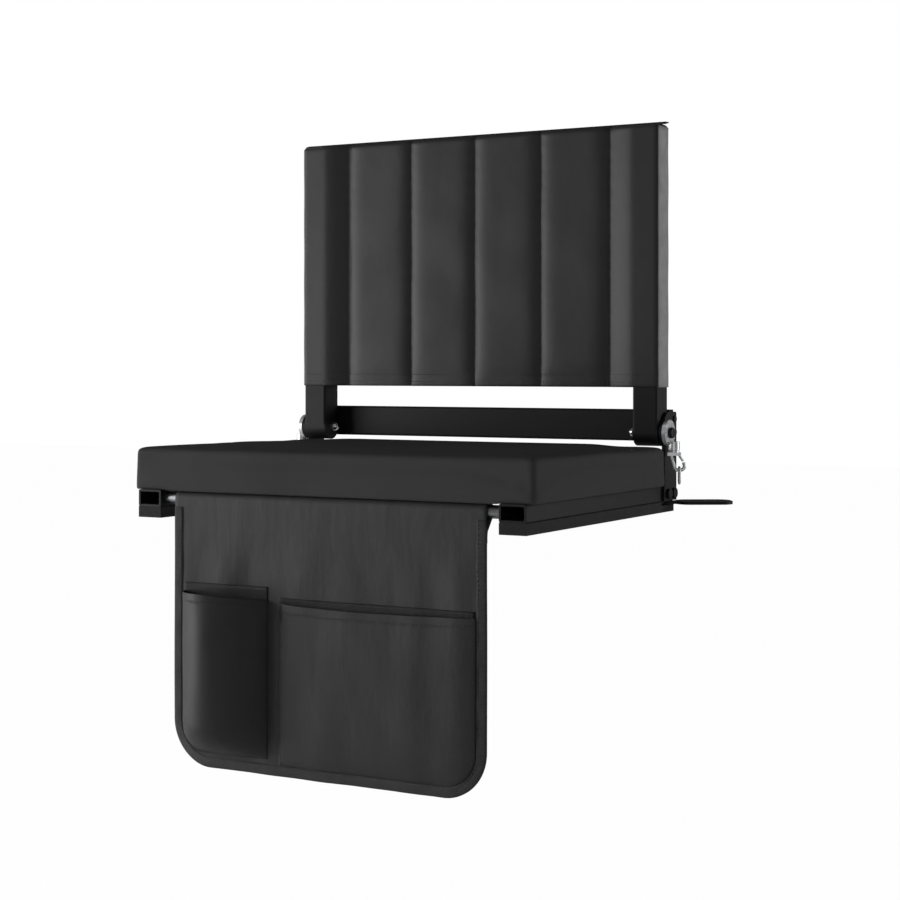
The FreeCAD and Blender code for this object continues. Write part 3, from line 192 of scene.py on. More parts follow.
def weave_height(tree, thread):
    """A plain weave on the piece's own cloth map, whose coordinates are metres."""
    cloth_map = add(tree, "ShaderNodeUVMap", {"uv_map": "cloth"})
    turns = add(tree, "ShaderNodeVectorMath", {"operation": "SCALE"}, i0=cloth_map.outputs["UV"],
                Scale=math.pi / (thread * MM))
    split = add(tree, "ShaderNodeSeparateXYZ", Vector=turns.outputs["Vector"])
    across = add(tree, "ShaderNodeMath", {"operation": "SINE"}, i0=split.outputs["X"])
    along = add(tree, "ShaderNodeMath", {"operation": "SINE"}, i0=split.outputs["Y"])
    return add(tree, "ShaderNodeMath", {"operation": "MULTIPLY"}, i0=across.outputs[0],
               i1=along.outputs[0]).outputs[0]


def cloth(name, base, thread, depth, roughness, specular, wrinkle, crease, stretch=(1, 1, 1)):
    """Woven cloth: threads that break up the gloss, and soft broad creases with painted shade, darker in
    their hollows, over a fine random tone.
    """
    material, tree, shader = new_material(name)
    place = add(tree, "ShaderNodeTexCoord").outputs["Object"]
    drawn = add(tree, "ShaderNodeMapping", Vector=place, Scale=stretch)
    broad = add(tree, "ShaderNodeTexNoise", Vector=drawn.outputs["Vector"], Scale=1 / (wrinkle * MM),
                Detail=3.0, Roughness=0.55)
    fine = add(tree, "ShaderNodeTexNoise", Vector=place, Scale=1 / (thread * 1.7 * MM), Detail=2.0)
    shade = add(tree, "ShaderNodeMath", {"operation": "MULTIPLY_ADD"}, i0=fine.outputs["Fac"], i1=0.35)
    tree.links.new(broad.outputs["Fac"], shade.inputs[2])
    # The broad crease noise also darkens the colour in the crease hollows: painted shade, on top of the fine
    # noise's random tone.
    feed(tree, shader, Base_Color=tint(tree, base, shade.outputs[0], 0.9, 1.08))
    gloss = add(tree, "ShaderNodeMapRange", Value=fine.outputs["Fac"], To_Min=roughness - 0.06,
                To_Max=roughness + 0.08)
    feed(tree, shader, Roughness=gloss.outputs["Result"])
    threads = add(tree, "ShaderNodeBump", Strength=0.3, Distance=depth * MM,
                  Height=weave_height(tree, thread))
    creases = add(tree, "ShaderNodeBump", Strength=0.5, Distance=crease * MM, Height=broad.outputs["Fac"],
                  Normal=threads.outputs["Normal"])
    feed(tree, shader, Normal=creases.outputs["Normal"], Specular_IOR_Level=specular)
    return material


def seat_cloth():
    # Polyester oxford with a thin coating: a tight matt weave, dark at a low angle and without sheen.
    # The real threads are about 0.5 mm apart and are drawn at 0.9 mm so that they show.
    return cloth("coated_polyester_oxford", colours().seat_cloth, 0.9, 0.12, 0.7, 0.05, 95, 1.2)


def back_cloth():
    # Calendered polyester: smoother than the seat's cloth, so folds that turn to the light shine softly.
    return cloth("calendered_polyester", colours().back_cloth, 0.9, 0.1, 0.48, 0.36, 60, 1.8)


def apron_cloth():
    # Light nylon pack cloth, which hangs in soft shallow creases that run down it.
    return cloth("nylon_pack_cloth", colours().apron_cloth, 0.8, 0.1, 0.56, 0.3, 30, 2.4, (1, 1, 0.4))


def ribbed_tape(name, base, rib, depth, roughness):
    """Woven tape with fine ribs across it, on the tape's own map: U runs along it."""
    material, tree, shader = new_material(name)
    tape_map = add(tree, "ShaderNodeUVMap", {"uv_map": "cloth"})
    split = add(tree, "ShaderNodeSeparateXYZ", Vector=tape_map.outputs["UV"])
    turns = add(tree, "ShaderNodeMath", {"operation": "MULTIPLY"}, i0=split.outputs["X"],
                i1=2 * math.pi / (rib * MM))
    ribs = add(tree, "ShaderNodeMath", {"operation": "SINE"}, i0=turns.outputs[0])
    place = add(tree, "ShaderNodeTexCoord").outputs["Object"]
    wear = add(tree, "ShaderNodeTexNoise", Vector=place, Scale=1 / (14 * MM), Detail=4.0)
    feed(tree, shader, Base_Color=tint(tree, base, wear.outputs["Fac"], 0.88, 1.12))
    bump = add(tree, "ShaderNodeBump", Strength=0.6, Distance=depth * MM, Height=ribs.outputs[0])
    feed(tree, shader, Normal=bump.outputs["Normal"], Roughness=roughness, Specular_IOR_Level=0.3)
    return material


def powder_coat():
    # Black epoxy powder coat on steel: nearly matt, with a fine orange peel and a little uneven dust.
    # A real grain of about 0.6 mm is drawn at 1.1 mm.
    material, tree, shader = new_material("powder_coated_steel")
    place = add(tree, "ShaderNodeTexCoord").outputs["Object"]
    peel = add(tree, "ShaderNodeTexNoise", Vector=place, Scale=1 / (1.1 * MM), Detail=2.0)
    dust = add(tree, "ShaderNodeTexNoise", Vector=place, Scale=1 / (35 * MM), Detail=6.0, Roughness=0.65)
    feed(tree, shader, Base_Color=tint(tree, colours().steel, dust.outputs["Fac"], 0.85, 1.25))
    gloss = add(tree, "ShaderNodeMapRange", Value=dust.outputs["Fac"], To_Min=0.45, To_Max=0.62)
    feed(tree, shader, Roughness=gloss.outputs["Result"])
    edges = add(tree, "ShaderNodeBevel", {"samples": 4}, Radius=0.5 * MM)
    bump = add(tree, "ShaderNodeBump", Strength=0.25, Distance=0.15 * MM, Height=peel.outputs["Fac"],
               Normal=edges.outputs["Normal"])
    feed(tree, shader, Normal=bump.outputs["Normal"], Specular_IOR_Level=0.25)
    return material


def plated(name, base, roughness, grain, stretch, depth, metallic=1.0):
    """Bright plating, with fine marks that run along the piece."""
    material, tree, shader = new_material(name)
    place = add(tree, "ShaderNodeTexCoord").outputs["Object"]
    drawn = add(tree, "ShaderNodeMapping", Vector=place, Scale=stretch)
    marks = add(tree, "ShaderNodeTexNoise", Vector=drawn.outputs["Vector"],
                Scale=1 / (grain * MM), Detail=4.0)
    feed(tree, shader, Base_Color=tint(tree, base, marks.outputs["Fac"], 0.86, 1.04))
    gloss = add(tree, "ShaderNodeMapRange", Value=marks.outputs["Fac"], To_Min=roughness * 0.7,
                To_Max=roughness * 1.4)
    feed(tree, shader, Roughness=gloss.outputs["Result"])
    bump = add(tree, "ShaderNodeBump", Strength=0.3, Distance=depth * MM, Height=marks.outputs["Fac"])
    feed(tree, shader, Normal=bump.outputs["Normal"], Metallic=metallic)
    return material


def clip_chrome():
    # Satin chrome on zinc die castings: pale and bright, with the faint waves of a polished casting.
    return plated("chrome_plated_zinc", colours().chrome, 0.3, 4.0, (1, 1, 1), 0.1, 0.6)


def zinc_rod():
    # Zinc-plated drawn rod: soft grey shine with drawing marks along it.
    return plated("zinc_plated_steel", colours().zinc, 0.32, 1.5, (0.06, 1, 1), 0.08)


def nickel_nut():
    # Nickel-plated dome nuts: bright and smooth.
    return plated("nickel_plated_brass", colours().chrome, 0.2, 3.0, (1, 1, 1), 0.05)


def rubber():
    # Extruded rubber: matt, with a fine bloom and shallow lines along the extrusion.
    material, tree, shader = new_material("extruded_rubber")
    place = add(tree, "ShaderNodeTexCoord").outputs["Object"]
    drawn = add(tree, "ShaderNodeMapping", Vector=place, Scale=(1, 0.02, 1))
    lines = add(tree, "ShaderNodeTexNoise", Vector=drawn.outputs["Vector"],
                Scale=1 / (1.6 * MM), Detail=3.0)
    bloom = add(tree, "ShaderNodeTexNoise", Vector=place, Scale=1 / (9 * MM), Detail=5.0)
    feed(tree, shader, Base_Color=tint(tree, colours().rubber, bloom.outputs["Fac"], 0.85, 1.15))
    bump = add(tree, "ShaderNodeBump", Strength=0.4, Distance=0.3 * MM, Height=lines.outputs["Fac"])
    feed(tree, shader, Normal=bump.outputs["Normal"], Roughness=0.78, Specular_IOR_Level=0.25)
    return material


def moulded_nylon():
    # Moulded nylon: black, half matt, with the fine grain of an eroded mould.
    material, tree, shader = new_material("moulded_nylon")
    place = add(tree, "ShaderNodeTexCoord").outputs["Object"]
    grain = add(tree, "ShaderNodeTexNoise", Vector=place, Scale=1 / (0.9 * MM), Detail=2.0)
    feed(tree, shader, Base_Color=tint(tree, colours().nylon, grain.outputs["Fac"], 0.9, 1.1))
    bump = add(tree, "ShaderNodeBump", Strength=0.3, Distance=0.1 * MM, Height=grain.outputs["Fac"])
    feed(tree, shader, Normal=bump.outputs["Normal"], Roughness=0.45)
    return material


def blackened_steel():
    # Black oxide on bolts and rivets: dark, oily and a little brighter where tools have touched it.
    material, tree, shader = new_material("blackened_steel")
    place = add(tree, "ShaderNodeTexCoord").outputs["Object"]
    rub = add(tree, "ShaderNodeTexNoise", Vector=place, Scale=1 / (5 * MM), Detail=5.0)
    feed(tree, shader, Base_Color=tint(tree, linear("#101011"), rub.outputs["Fac"], 0.8, 1.6))
    gloss = add(tree, "ShaderNodeMapRange", Value=rub.outputs["Fac"], To_Min=0.3, To_Max=0.5)
    feed(tree, shader, Roughness=gloss.outputs["Result"])
    edges = add(tree, "ShaderNodeBevel", {"samples": 4}, Radius=0.4 * MM)
    feed(tree, shader, Normal=edges.outputs["Normal"], Metallic=0.4)
    return material


def birch_plywood():
    # Birch plywood: long grain on its faces, and dark glue lines between 1.5 mm plies at its edges.
    material, tree, shader = new_material("birch_plywood")
    place = add(tree, "ShaderNodeTexCoord").outputs["Object"]
    drawn = add(tree, "ShaderNodeMapping", Vector=place, Scale=(0.08, 1, 0.3))
    grain = add(tree, "ShaderNodeTexNoise", Vector=drawn.outputs["Vector"],
                Scale=1 / (7 * MM), Detail=6.0)
    split = add(tree, "ShaderNodeSeparateXYZ", Vector=place)
    plies = add(tree, "ShaderNodeMath", {"operation": "MULTIPLY"}, i0=split.outputs["Z"],
                i1=math.pi / (1.5 * MM))
    lines = add(tree, "ShaderNodeMath", {"operation": "SINE"}, i0=plies.outputs[0])
    both = add(tree, "ShaderNodeMath", {"operation": "MULTIPLY_ADD"}, i0=lines.outputs[0], i1=0.08)
    tree.links.new(grain.outputs["Fac"], both.inputs[2])
    feed(tree, shader, Base_Color=tint(tree, colours().plywood, both.outputs[0], 0.7, 1.1))
    bump = add(tree, "ShaderNodeBump", Strength=0.3, Distance=0.2 * MM, Height=grain.outputs["Fac"])
    feed(tree, shader, Normal=bump.outputs["Normal"], Roughness=0.6)
    return material


def sewing_thread(name, base):
    # Bonded polyester thread: a little darker and shinier than the cloth it holds, with a tight twist.
    material, tree, shader = new_material(name)
    place = add(tree, "ShaderNodeTexCoord").outputs["Object"]
    twist = add(tree, "ShaderNodeTexNoise", Vector=place, Scale=1 / (0.8 * MM), Detail=1.0)
    feed(tree, shader, Base_Color=tint(tree, base, twist.outputs["Fac"], 0.75, 1.2), Roughness=0.5)
    return material


FINISHES = {
    "powder_steel": powder_coat, "rubber_strip": rubber, "zinc_rod": zinc_rod, "plywood": birch_plywood,
    "seat_cloth": seat_cloth, "back_cloth": back_cloth, "apron_cloth": apron_cloth,
    "black_fastener": blackened_steel, "plated_screw": zinc_rod, "bright_nut": nickel_nut,
    "nylon": moulded_nylon, "clip_chrome": clip_chrome,
    "binding_tape": lambda: ribbed_tape("grosgrain_tape", colours().tape, 1.2, 0.25, 0.6),
    "grey_gusset": lambda: ribbed_tape("grey_webbing", colours().gusset, 1.6, 0.12, 0.7),
    "black_piping": lambda: ribbed_tape("piping_cord_cover", colours().piping, 1.2, 0.2, 0.6),
    "thread": lambda: sewing_thread("polyester_thread", colours().thread),
    "tack_thread": lambda: sewing_thread("bar_tack_thread", colours().piping),
}
made_finishes = {}


def finish_of(slot):
    """The material of a slot, made once."""
    if slot not in made_finishes:
        made_finishes[slot] = FINISHES[slot]()
    return made_finishes[slot]


# Meshes

def new_object(name, points, faces):
    """A smooth mesh object at the origin, with its place in its points."""
    mesh = bpy.data.meshes.new(name)
    mesh.from_pydata([tuple(p) for p in points], [], faces)
    mesh.shade_smooth()
    obj = bpy.data.objects.new(name, mesh)
    bpy.context.scene.collection.objects.link(obj)
    return obj


def grid_faces(rows, columns, around=False):
    """Faces of a grid of points that is stored row by row. Around closes each row on itself."""
    faces = []
    for r in range(rows - 1):
        for c in range(columns if around else columns - 1):
            n = (c + 1) % columns
            faces.append((r * columns + c, r * columns + n, (r + 1) * columns + n, (r + 1) * columns + c))
    return faces


def point_array(mesh):
    """A mesh's points as an array."""
    flat = np.empty(len(mesh.vertices) * 3)
    mesh.vertices.foreach_get("co", flat)
    return flat.reshape(-1, 3)


def lay_cloth_map(mesh):
    """Lays the weave on each face from the side that the face looks to, in metres."""
    corners = np.empty(len(mesh.loops), np.int32)
    mesh.loops.foreach_get("vertex_index", corners)
    normals = np.empty(len(mesh.polygons) * 3)
    mesh.polygons.foreach_get("normal", normals)
    totals = np.empty(len(mesh.polygons), np.int32)
    mesh.polygons.foreach_get("loop_total", totals)
    side = np.repeat(np.abs(normals.reshape(-1, 3)).argmax(1), totals)
    place = point_array(mesh)[corners]
    each = np.arange(len(corners))
    flat = np.stack([place[each, np.array([1, 0, 0])[side]], place[each, np.array([2, 2, 1])[side]]], 1)
    mesh.uv_layers.new(name="cloth").data.foreach_set("uv", flat.ravel())


def lay_strip_map(mesh, per_point):
    """Lays a strip's own map: one pair of metres for each point."""
    corners = np.empty(len(mesh.loops), np.int32)
    mesh.loops.foreach_get("vertex_index", corners)
    mesh.uv_layers.new(name="cloth").data.foreach_set("uv", np.asarray(per_point)[corners].ravel())


def face_outwards(obj):
    """Merges doubles and turns a closed shell's faces outwards."""
    bm = bmesh.new()
    bm.from_mesh(obj.data)
    bmesh.ops.remove_doubles(bm, verts=bm.verts, dist=0.01 * MM)
    bmesh.ops.recalc_face_normals(bm, faces=bm.faces)
    bm.to_mesh(obj.data)
    bm.free()
    obj.data.shade_smooth()


def give_walls(obj, thickness, offset=0.0):
    """Turns an open sheet into cloth with two sides."""
    wall = obj.modifiers.new("cloth thickness", "SOLIDIFY")
    wall.thickness = thickness
    wall.offset = offset
    wall.use_even_offset = True
    wall.use_rim = True


def smooth_out(obj):
    """One subdivision, the same in the view and in the render."""
    rounding = obj.modifiers.new("smooth", "SUBSURF")
    rounding.levels = 1
    rounding.render_levels = 1


def bake_modifiers(obj):
    """Replaces the object's mesh by what its modifiers make of it."""
    depsgraph = bpy.context.evaluated_depsgraph_get()
    mesh = bpy.data.meshes.new_from_object(obj.evaluated_get(depsgraph), depsgraph=depsgraph)
    obj.modifiers.clear()
    old = obj.data
    obj.data = mesh
    mesh.name = obj.name
    bpy.data.meshes.remove(old)
    mesh.shade_smooth()


def place_piece(obj, body, slot, *nodes):
    """Gives a finished piece its finish, its body and the nodes that it stands for."""
    obj.data.materials.clear()
    obj.data.materials.append(finish_of(slot))
    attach(obj, body)
    if nodes:
        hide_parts(*nodes)
    return obj


def smooth_step(low, high, value):
    """From 0 at low to 1 at high, without a corner."""
    t = np.clip((np.asarray(value, float) - low) / (high - low), 0, 1)
    return t * t * (3 - 2 * t)


def soft_noise(x, y, z, seed):
    """Smooth noise from -1 to 1, the same in every run."""
    return noise.noise(Vector((x + 13.7 * seed, y - 7.1 * seed, z + 3.3 * seed)))


def inflate(obj, held, pressure, cap):
    """Lets cloth pressure fill a cover like its padding does.

    Held points stay, and no point moves past the cap.
    """
    start = point_array(obj.data)
    group = obj.vertex_groups.new(name="held")
    group.add([int(i) for i in np.flatnonzero(held)], 1.0, "REPLACE")
    modifier = obj.modifiers.new("fill", "CLOTH")
    settings = modifier.settings
    settings.quality = 6
    settings.mass = 0.3
    settings.tension_stiffness = 25
    settings.compression_stiffness = 25
    settings.shear_stiffness = 12
    settings.bending_stiffness = 3
    settings.use_pressure = True
    settings.uniform_pressure_force = pressure
    settings.vertex_group_mass = group.name
    settings.effector_weights.gravity = 0
    modifier.collision_settings.use_collision = False
    modifier.point_cache.frame_start = 1
    modifier.point_cache.frame_end = SIM_FRAMES
    for step in range(1, SIM_FRAMES + 1):
        bpy.context.scene.frame_set(step)
    bake_modifiers(obj)
    bpy.context.scene.frame_set(1)
    moved = point_array(obj.data) - start
    distance = np.linalg.norm(moved, axis=1, keepdims=True)
    share = np.where(distance > 0, cap * np.tanh(distance / cap) / np.maximum(distance, 1e-12), 0)
    obj.data.vertices.foreach_set("co", (start + moved * share).ravel())
    obj.data.update()
    obj.vertex_groups.clear()


SIM_FRAMES = 18


# Rigid parts

RIGID_SLOTS = {
    "powder_steel": ("left_rail", "right_rail", "rear_cross_tube", "left_hinge_ear", "right_hinge_ear",
                     "backstop_bar", "left_post", "right_post", "back_top_tube", "left_bench_hook",
                     "right_bench_hook"),
    "rubber_strip": ("left_rail_pad", "right_rail_pad"),
    "zinc_rod": ("front_rod",),
    "plywood": ("seat_board",),
    "plated_screw": ("seat_screws",),
    "bright_nut": ("pivot_nuts",),
    "black_fastener": ("ear_bolts", "ear_nuts", "backstop_rivets", "left_pivot_bolt", "right_pivot_bolt",
                       "bench_hook_rivets"),
    "nylon": ("pivot_washers", "post_bushes", "post_top_plugs"),
    "clip_chrome": tuple(f"{side}_{piece}" for side, _ in SIDES
                         for piece in ("clip_eye", "clip_hook", "clip_gate", "gate_pin", "strap_link")),
}


def finish_rigid_parts():
    """Gives each rigid part the finish of its real material."""
    for slot, nodes in RIGID_SLOTS.items():
        for node in nodes:
            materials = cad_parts[node].data.materials
            materials.clear()
            materials.append(finish_of(slot))


# Seat cushion

# The sewn cover is a little fuller than its solid. Its hem hangs lower between the rails, where it hides the
# board, and its top dips where the folded posts come to lie.
COVER_EASE = (np.array((-1.4, -0.9, -0.3)) * MM, np.array((1.4, 0.6, 0.1)) * MM)
HEM_DROP = 2.0 * MM
RAIL_HEM_DROP = 0.6 * MM
POST_DIP = 2.1 * MM
CUSHION_PRESSURE = 2.5
CUSHION_SWELL = 1.0 * MM


def box_grid(low, high, step):
    """The points and faces of a box whose sides are divided into cells of about one step."""
    counts = [max(1, round((h - l) / step)) for l, h in zip(low, high)]
    lines = [np.linspace(l, h, n + 1) for l, h, n in zip(low, high, counts)]
    index, points, faces = {}, [], []

    def corner(key):
        if key not in index:
            index[key] = len(points)
            points.append([lines[axis][key[axis]] for axis in range(3)])
        return index[key]

    for axis in range(3):
        a, b = (axis + 1) % 3, (axis + 2) % 3
        for end in (0, counts[axis]):
            for i in range(counts[a]):
                for j in range(counts[b]):
                    ring = []
                    for da, db in ((0, 0), (1, 0), (1, 1), (0, 1)):
                        key = [0, 0, 0]
                        key[axis], key[a], key[b] = end, i + da, j + db
                        ring.append(corner(tuple(key)))
                    faces.append(tuple(ring if end else ring[::-1]))
    return np.array(points), faces


def round_pair(a, b):
    """Moves points from a square's edge onto the circle inside it."""
    longest = np.maximum(np.abs(a), np.abs(b))
    radius = np.hypot(a, b)
    share = np.where(radius > 0, longest / np.maximum(radius, 1e-12), 1)
    return a * share, b * share


def cushion_shape(points, low, high, edge, crown, draw):
    """Bends a box of points into a cushion: round top edge, round corners, a crown and drawn-in sides."""
    size = sizes()
    middle = (low + high) / 2
    half = (high - low) / 2
    p = points - middle
    rim_top = half[2] - crown
    inset = np.minimum(half[0] - np.abs(p[:, 0]), half[1] - np.abs(p[:, 1]))
    z = np.minimum(p[:, 2], rim_top)
    on_top = p[:, 2] > rim_top - 1e-6
    z[on_top] = rim_top
    side, rise = edge - inset, z - (rim_top - edge)
    rounding = (side > 0) & (rise > 0)
    new_side, new_rise = round_pair(np.maximum(side, 0), np.maximum(rise, 0))
    new_inset = np.where(rounding, edge - new_side, inset)
    z = np.where(rounding, rim_top - edge + new_rise, z)
    for axis in (0, 1):
        p[:, axis] *= (half[axis] - new_inset) / np.maximum(half[axis] - inset, 1e-9)
    corner = np.where(p[:, 1] > 0, size.rear_corner, size.cushion_corner)
    over = [np.maximum(np.abs(p[:, axis]) - (half[axis] - corner), 0) for axis in (0, 1)]
    turned = round_pair(*over)
    both = (over[0] > 0) & (over[1] > 0)
    for axis in (0, 1):
        moved = np.sign(p[:, axis]) * (half[axis] - corner + turned[axis])
        p[:, axis] = np.where(both, moved, p[:, axis])
    z = np.where(on_top, z + crown * 0.5 * (1 - np.cos(np.pi * np.clip(inset / size.crown_run, 0, 1))), z)
    pull = [draw * (1 - (p[:, 1 - axis] / half[1 - axis]) ** 2) * (np.abs(p[:, axis]) / half[axis]) ** 4
            for axis in (0, 1)]
    for axis in (0, 1):
        p[:, axis] -= np.sign(p[:, axis]) * pull[axis]
    p[:, 2] = z
    return p + middle


def make_seat_cushion():
    """The padded seat: a cover over foam, pulled round the board and swollen by its filling."""
    size = sizes()
    low, high = (np.array(v) for v in node_box("seat_cover"))
    low += COVER_EASE[0]
    high += COVER_EASE[1]
    board_top = node_box("seat_board")[1].z
    points, faces = box_grid(low, high, 4.6 * MM)
    inset = np.minimum(points[:, :2] - low[:2], high[:2] - points[:, :2]).min(1)
    hem = (points[:, 2] < low[2] + 0.1 * MM) & (inset < 0.1 * MM)
    between_rails = np.abs(points[:, 0]) < node_box("right_rail")[0].x - 1.5 * MM
    free = smooth_step(board_top - 6 * MM, board_top + 14 * MM, points[:, 2])
    draw = size.cushion_draw * (0.5 + 0.5 * free)
    points = cushion_shape(points, low, high, size.cushion_edge, size.cushion_crown, draw)
    points[:, 2] -= hem * np.where(between_rails, HEM_DROP, RAIL_HEM_DROP)
    under_posts = smooth_step(150 * MM, 185 * MM, np.abs(points[:, 0]))
    under_posts *= smooth_step(-20 * MM, 95 * MM, points[:, 1])
    near_top = smooth_step(high[2] - 14 * MM, high[2] - 4 * MM, points[:, 2])
    points[:, 2] -= POST_DIP * under_posts * near_top
    cushion = new_object("seat_cushion", points, faces)
    inflate(cushion, points[:, 2] < board_top, CUSHION_PRESSURE, CUSHION_SWELL)
    smooth_out(cushion)
    bake_modifiers(cushion)
    lay_cloth_map(cushion.data)
    place_piece(cushion, "seat_frame", "seat_cloth", "seat_cover", "seat_foam")


# Back

def back_columns():
    """Places across the back: close together at the seams and the corners, wider apart between."""
    size = sizes()
    high = node_box("back_cover")[1].x
    post = node_box("right_post")[0].x
    seam = 2 * size.channel_pitch
    eased = 0.5 - 0.5 * np.cos(np.linspace(0, np.pi, 33))
    channels = [s * size.channel_pitch + eased[:-1] * size.channel_pitch for s in (-2, -1, 0, 1)]
    slope = np.linspace(seam, post, 13)
    flank = post + (high - post) * np.sin(np.linspace(0, np.pi / 2, 13))
    right = np.concatenate([slope, flank[1:]])
    return np.concatenate([-right[::-1][:-1], *channels, right])


def back_front(x, z):
    """How far back the cover's front lies at places on it."""
    size = sizes()
    low = node_box("back_cover")[0]
    post = node_box("right_post")[0].x
    pitch, seam = size.channel_pitch, 2 * size.channel_pitch
    away = np.abs(x)
    full = 0.6 + 0.4 * smooth_step(0, 30 * MM, z - low.z)
    place = (x + seam) / pitch
    across = np.clip(2 * (place - np.floor(np.clip(place, 0, 3.999))) - 1, -1, 1)
    swell = 1 - np.abs(across) ** 6
    channel = low.y + size.seam_recess - size.channel_bulge * full * swell
    slope = low.y + size.seam_recess * np.clip((post - away) / (post - seam), 0, 1) ** 1.4
    nearest = np.abs(x[..., None] - pitch * np.arange(-2, 3)).min(-1)
    pucker = 0.2 * MM * np.exp(-nearest / (9 * MM)) * np.sin(2 * np.pi * z / (16 * MM) + 40 * x)
    return np.where(away < seam, channel, slope) + pucker * (away < seam + 8 * MM)


def make_back_cover():
    """The padded back: a sewn sleeve over the posts with four stuffed channels on its front."""
    size = sizes()
    low, high = node_box("back_cover")
    columns = back_columns()
    count = len(columns)
    corner, edge = 4 * MM, size.back_edge
    eased = np.linspace(0, np.pi / 2, 7)
    heights = np.concatenate([np.linspace(low.z + 1.2 * MM, high.z - edge, 96),
                              high.z - edge + edge * np.sin(eased[1:])])
    insets = np.concatenate([np.zeros(96), edge - edge * np.cos(eased[1:])])
    heights = np.concatenate([[low.z + 7 * MM, low.z + 1.5 * MM, low.z, low.z + 0.2 * MM], heights])
    insets = np.concatenate([[2.6 * MM, 2.4 * MM, 1.4 * MM, 0.4 * MM], insets])
    rows = []
    for z, inset in zip(heights, insets):
        narrow = (high.x - inset * 0.6) / high.x
        x = columns * narrow
        over = np.clip((np.abs(columns) - (high.x - corner)) / corner, 0, 1)
        turn = corner * (1 - np.sqrt(np.maximum(1 - over ** 2, 0)))
        ruffle = np.array([0.9 * MM * soft_noise(c / 0.06, 0, z / 0.05, 1) for c in columns])
        ruffle = ruffle * (np.abs(columns) < 0.16)
        front = back_front(columns, np.full(count, z)) + turn + inset + ruffle
        sag = 1.2 * MM * np.clip(1 - (columns / 0.19) ** 2, 0, 1)
        rear = high.y - turn - inset - sag + 0.4 * np.roll(ruffle, 9)
        ring = [(a, b, z) for a, b in zip(x, front)]
        ring += [(a, b, z) for a, b in zip(x[::-1], rear[::-1])]
        rows.append(ring)
    around = 2 * count
    points = [p for ring in rows for p in ring]
    faces = grid_faces(len(rows), around, around=True)
    for base, turned in ((0, False), ((len(rows) - 1) * around, True)):
        for i in range(count - 1):
            face = (base + i, base + i + 1, base + around - 2 - i, base + around - 1 - i)
            faces.append(face if turned else face[::-1])
    cover = new_object("back_cover_padded", points, faces)
    face_outwards(cover)
    lay_cloth_map(cover.data)
    place_piece(cover, "backrest", "back_cloth", "back_cover", "back_foam")


def make_back_gussets():
    """Grey webbing sewn flat on the two sides of the back cover."""
    low, high = node_box("back_side_gussets")
    side = node_box("back_cover")[1].x
    proud = high.x - side
    across = np.linspace(0, 1, 15)
    heights = np.linspace(low.z, high.z - 3 * MM, 60)
    points, strip, faces = [], [], []
    for hand in (-1, 1):
        base = len(points)
        for z in heights:
            for t in across:
                bow = proud * (1 - np.abs(2 * t - 1) ** 6) - 0.5 * MM * np.abs(2 * t - 1) ** 4
                ripple = 0.15 * MM * math.sin(z / (11 * MM) + 2.0 * hand)
                points.append((hand * (side + bow + ripple), low.y + (high.y - low.y) * t, z))
                strip.append((z, low.y + (high.y - low.y) * t))
        ring = grid_faces(len(heights), len(across))
        faces += [tuple(base + i for i in (f if hand > 0 else f[::-1])) for f in ring]
    gussets = new_object("back_gusset_webbing", points, faces)
    lay_strip_map(gussets.data, strip)
    give_walls(gussets, 0.9 * MM, offset=-1.0)
    bake_modifiers(gussets)
    place_piece(gussets, "backrest", "grey_gusset", "back_side_gussets")


def make_back_piping():
    """The dark cord along the cover's top, which ends a little beyond the cover's sides."""
    low, high = node_box("back_top_piping")
    middle = (low + high) / 2
    centre_z = middle.z - 0.3 * MM
    radius = (high.z - low.z) / 2
    reach = np.linspace(low.x, high.x, 121)
    turns = np.linspace(0, 2 * np.pi, 13)[:-1]
    points, strip = [], []
    for x in reach:
        full = radius * min(1.0, (high.x - abs(x)) / radius + 0.3)
        for turn in turns:
            points.append((x, middle.y + full * math.cos(turn), centre_z + full * math.sin(turn)))
            strip.append((x, turn * radius))
    faces = grid_faces(len(reach), len(turns), around=True)
    faces.append(tuple(range(len(turns)))[::-1])
    last = (len(reach) - 1) * len(turns)
    faces.append(tuple(last + i for i in range(len(turns))))
    piping = new_object("back_piping_cord", points, faces)
    lay_strip_map(piping.data, strip)
    face_outwards(piping)
    place_piece(piping, "backrest", "black_piping", "back_top_piping")


# Apron

def apron_wave(x, z):
    """How far the hanging cloth swings out of its plane: soft folds that start under the rod."""
    high = node_box("apron_panel")[1]
    down = smooth_step(high.z - 20 * MM, high.z - 90 * MM, z)
    edge = smooth_step(0, 40 * MM, high.x - abs(x))
    folds = 1.6 * soft_noise(x / 0.03, 0.7, z / 0.16, 5)
    drift = 2.0 * soft_noise(x / 0.09, 0.3, z / 0.14, 2)
    return float((folds + drift) * MM * down * (0.35 + 0.65 * edge))


def apron_half(z, inset):
    """Half the apron's width at a height, inside its rounded corners."""
    low, high = node_box("apron_panel")
    half, radius = high.x - inset, max(sizes().apron_corner - inset, 0.1 * MM)
    below = low.z + inset + radius - z
    if below <= 0:
        return half
    return half - radius + math.sqrt(max(radius ** 2 - below ** 2, 0))


def apron_plane():
    """The middle of the panel's cloth, front to back."""
    return node_box("apron_panel")[0].y + sizes().cloth / 2


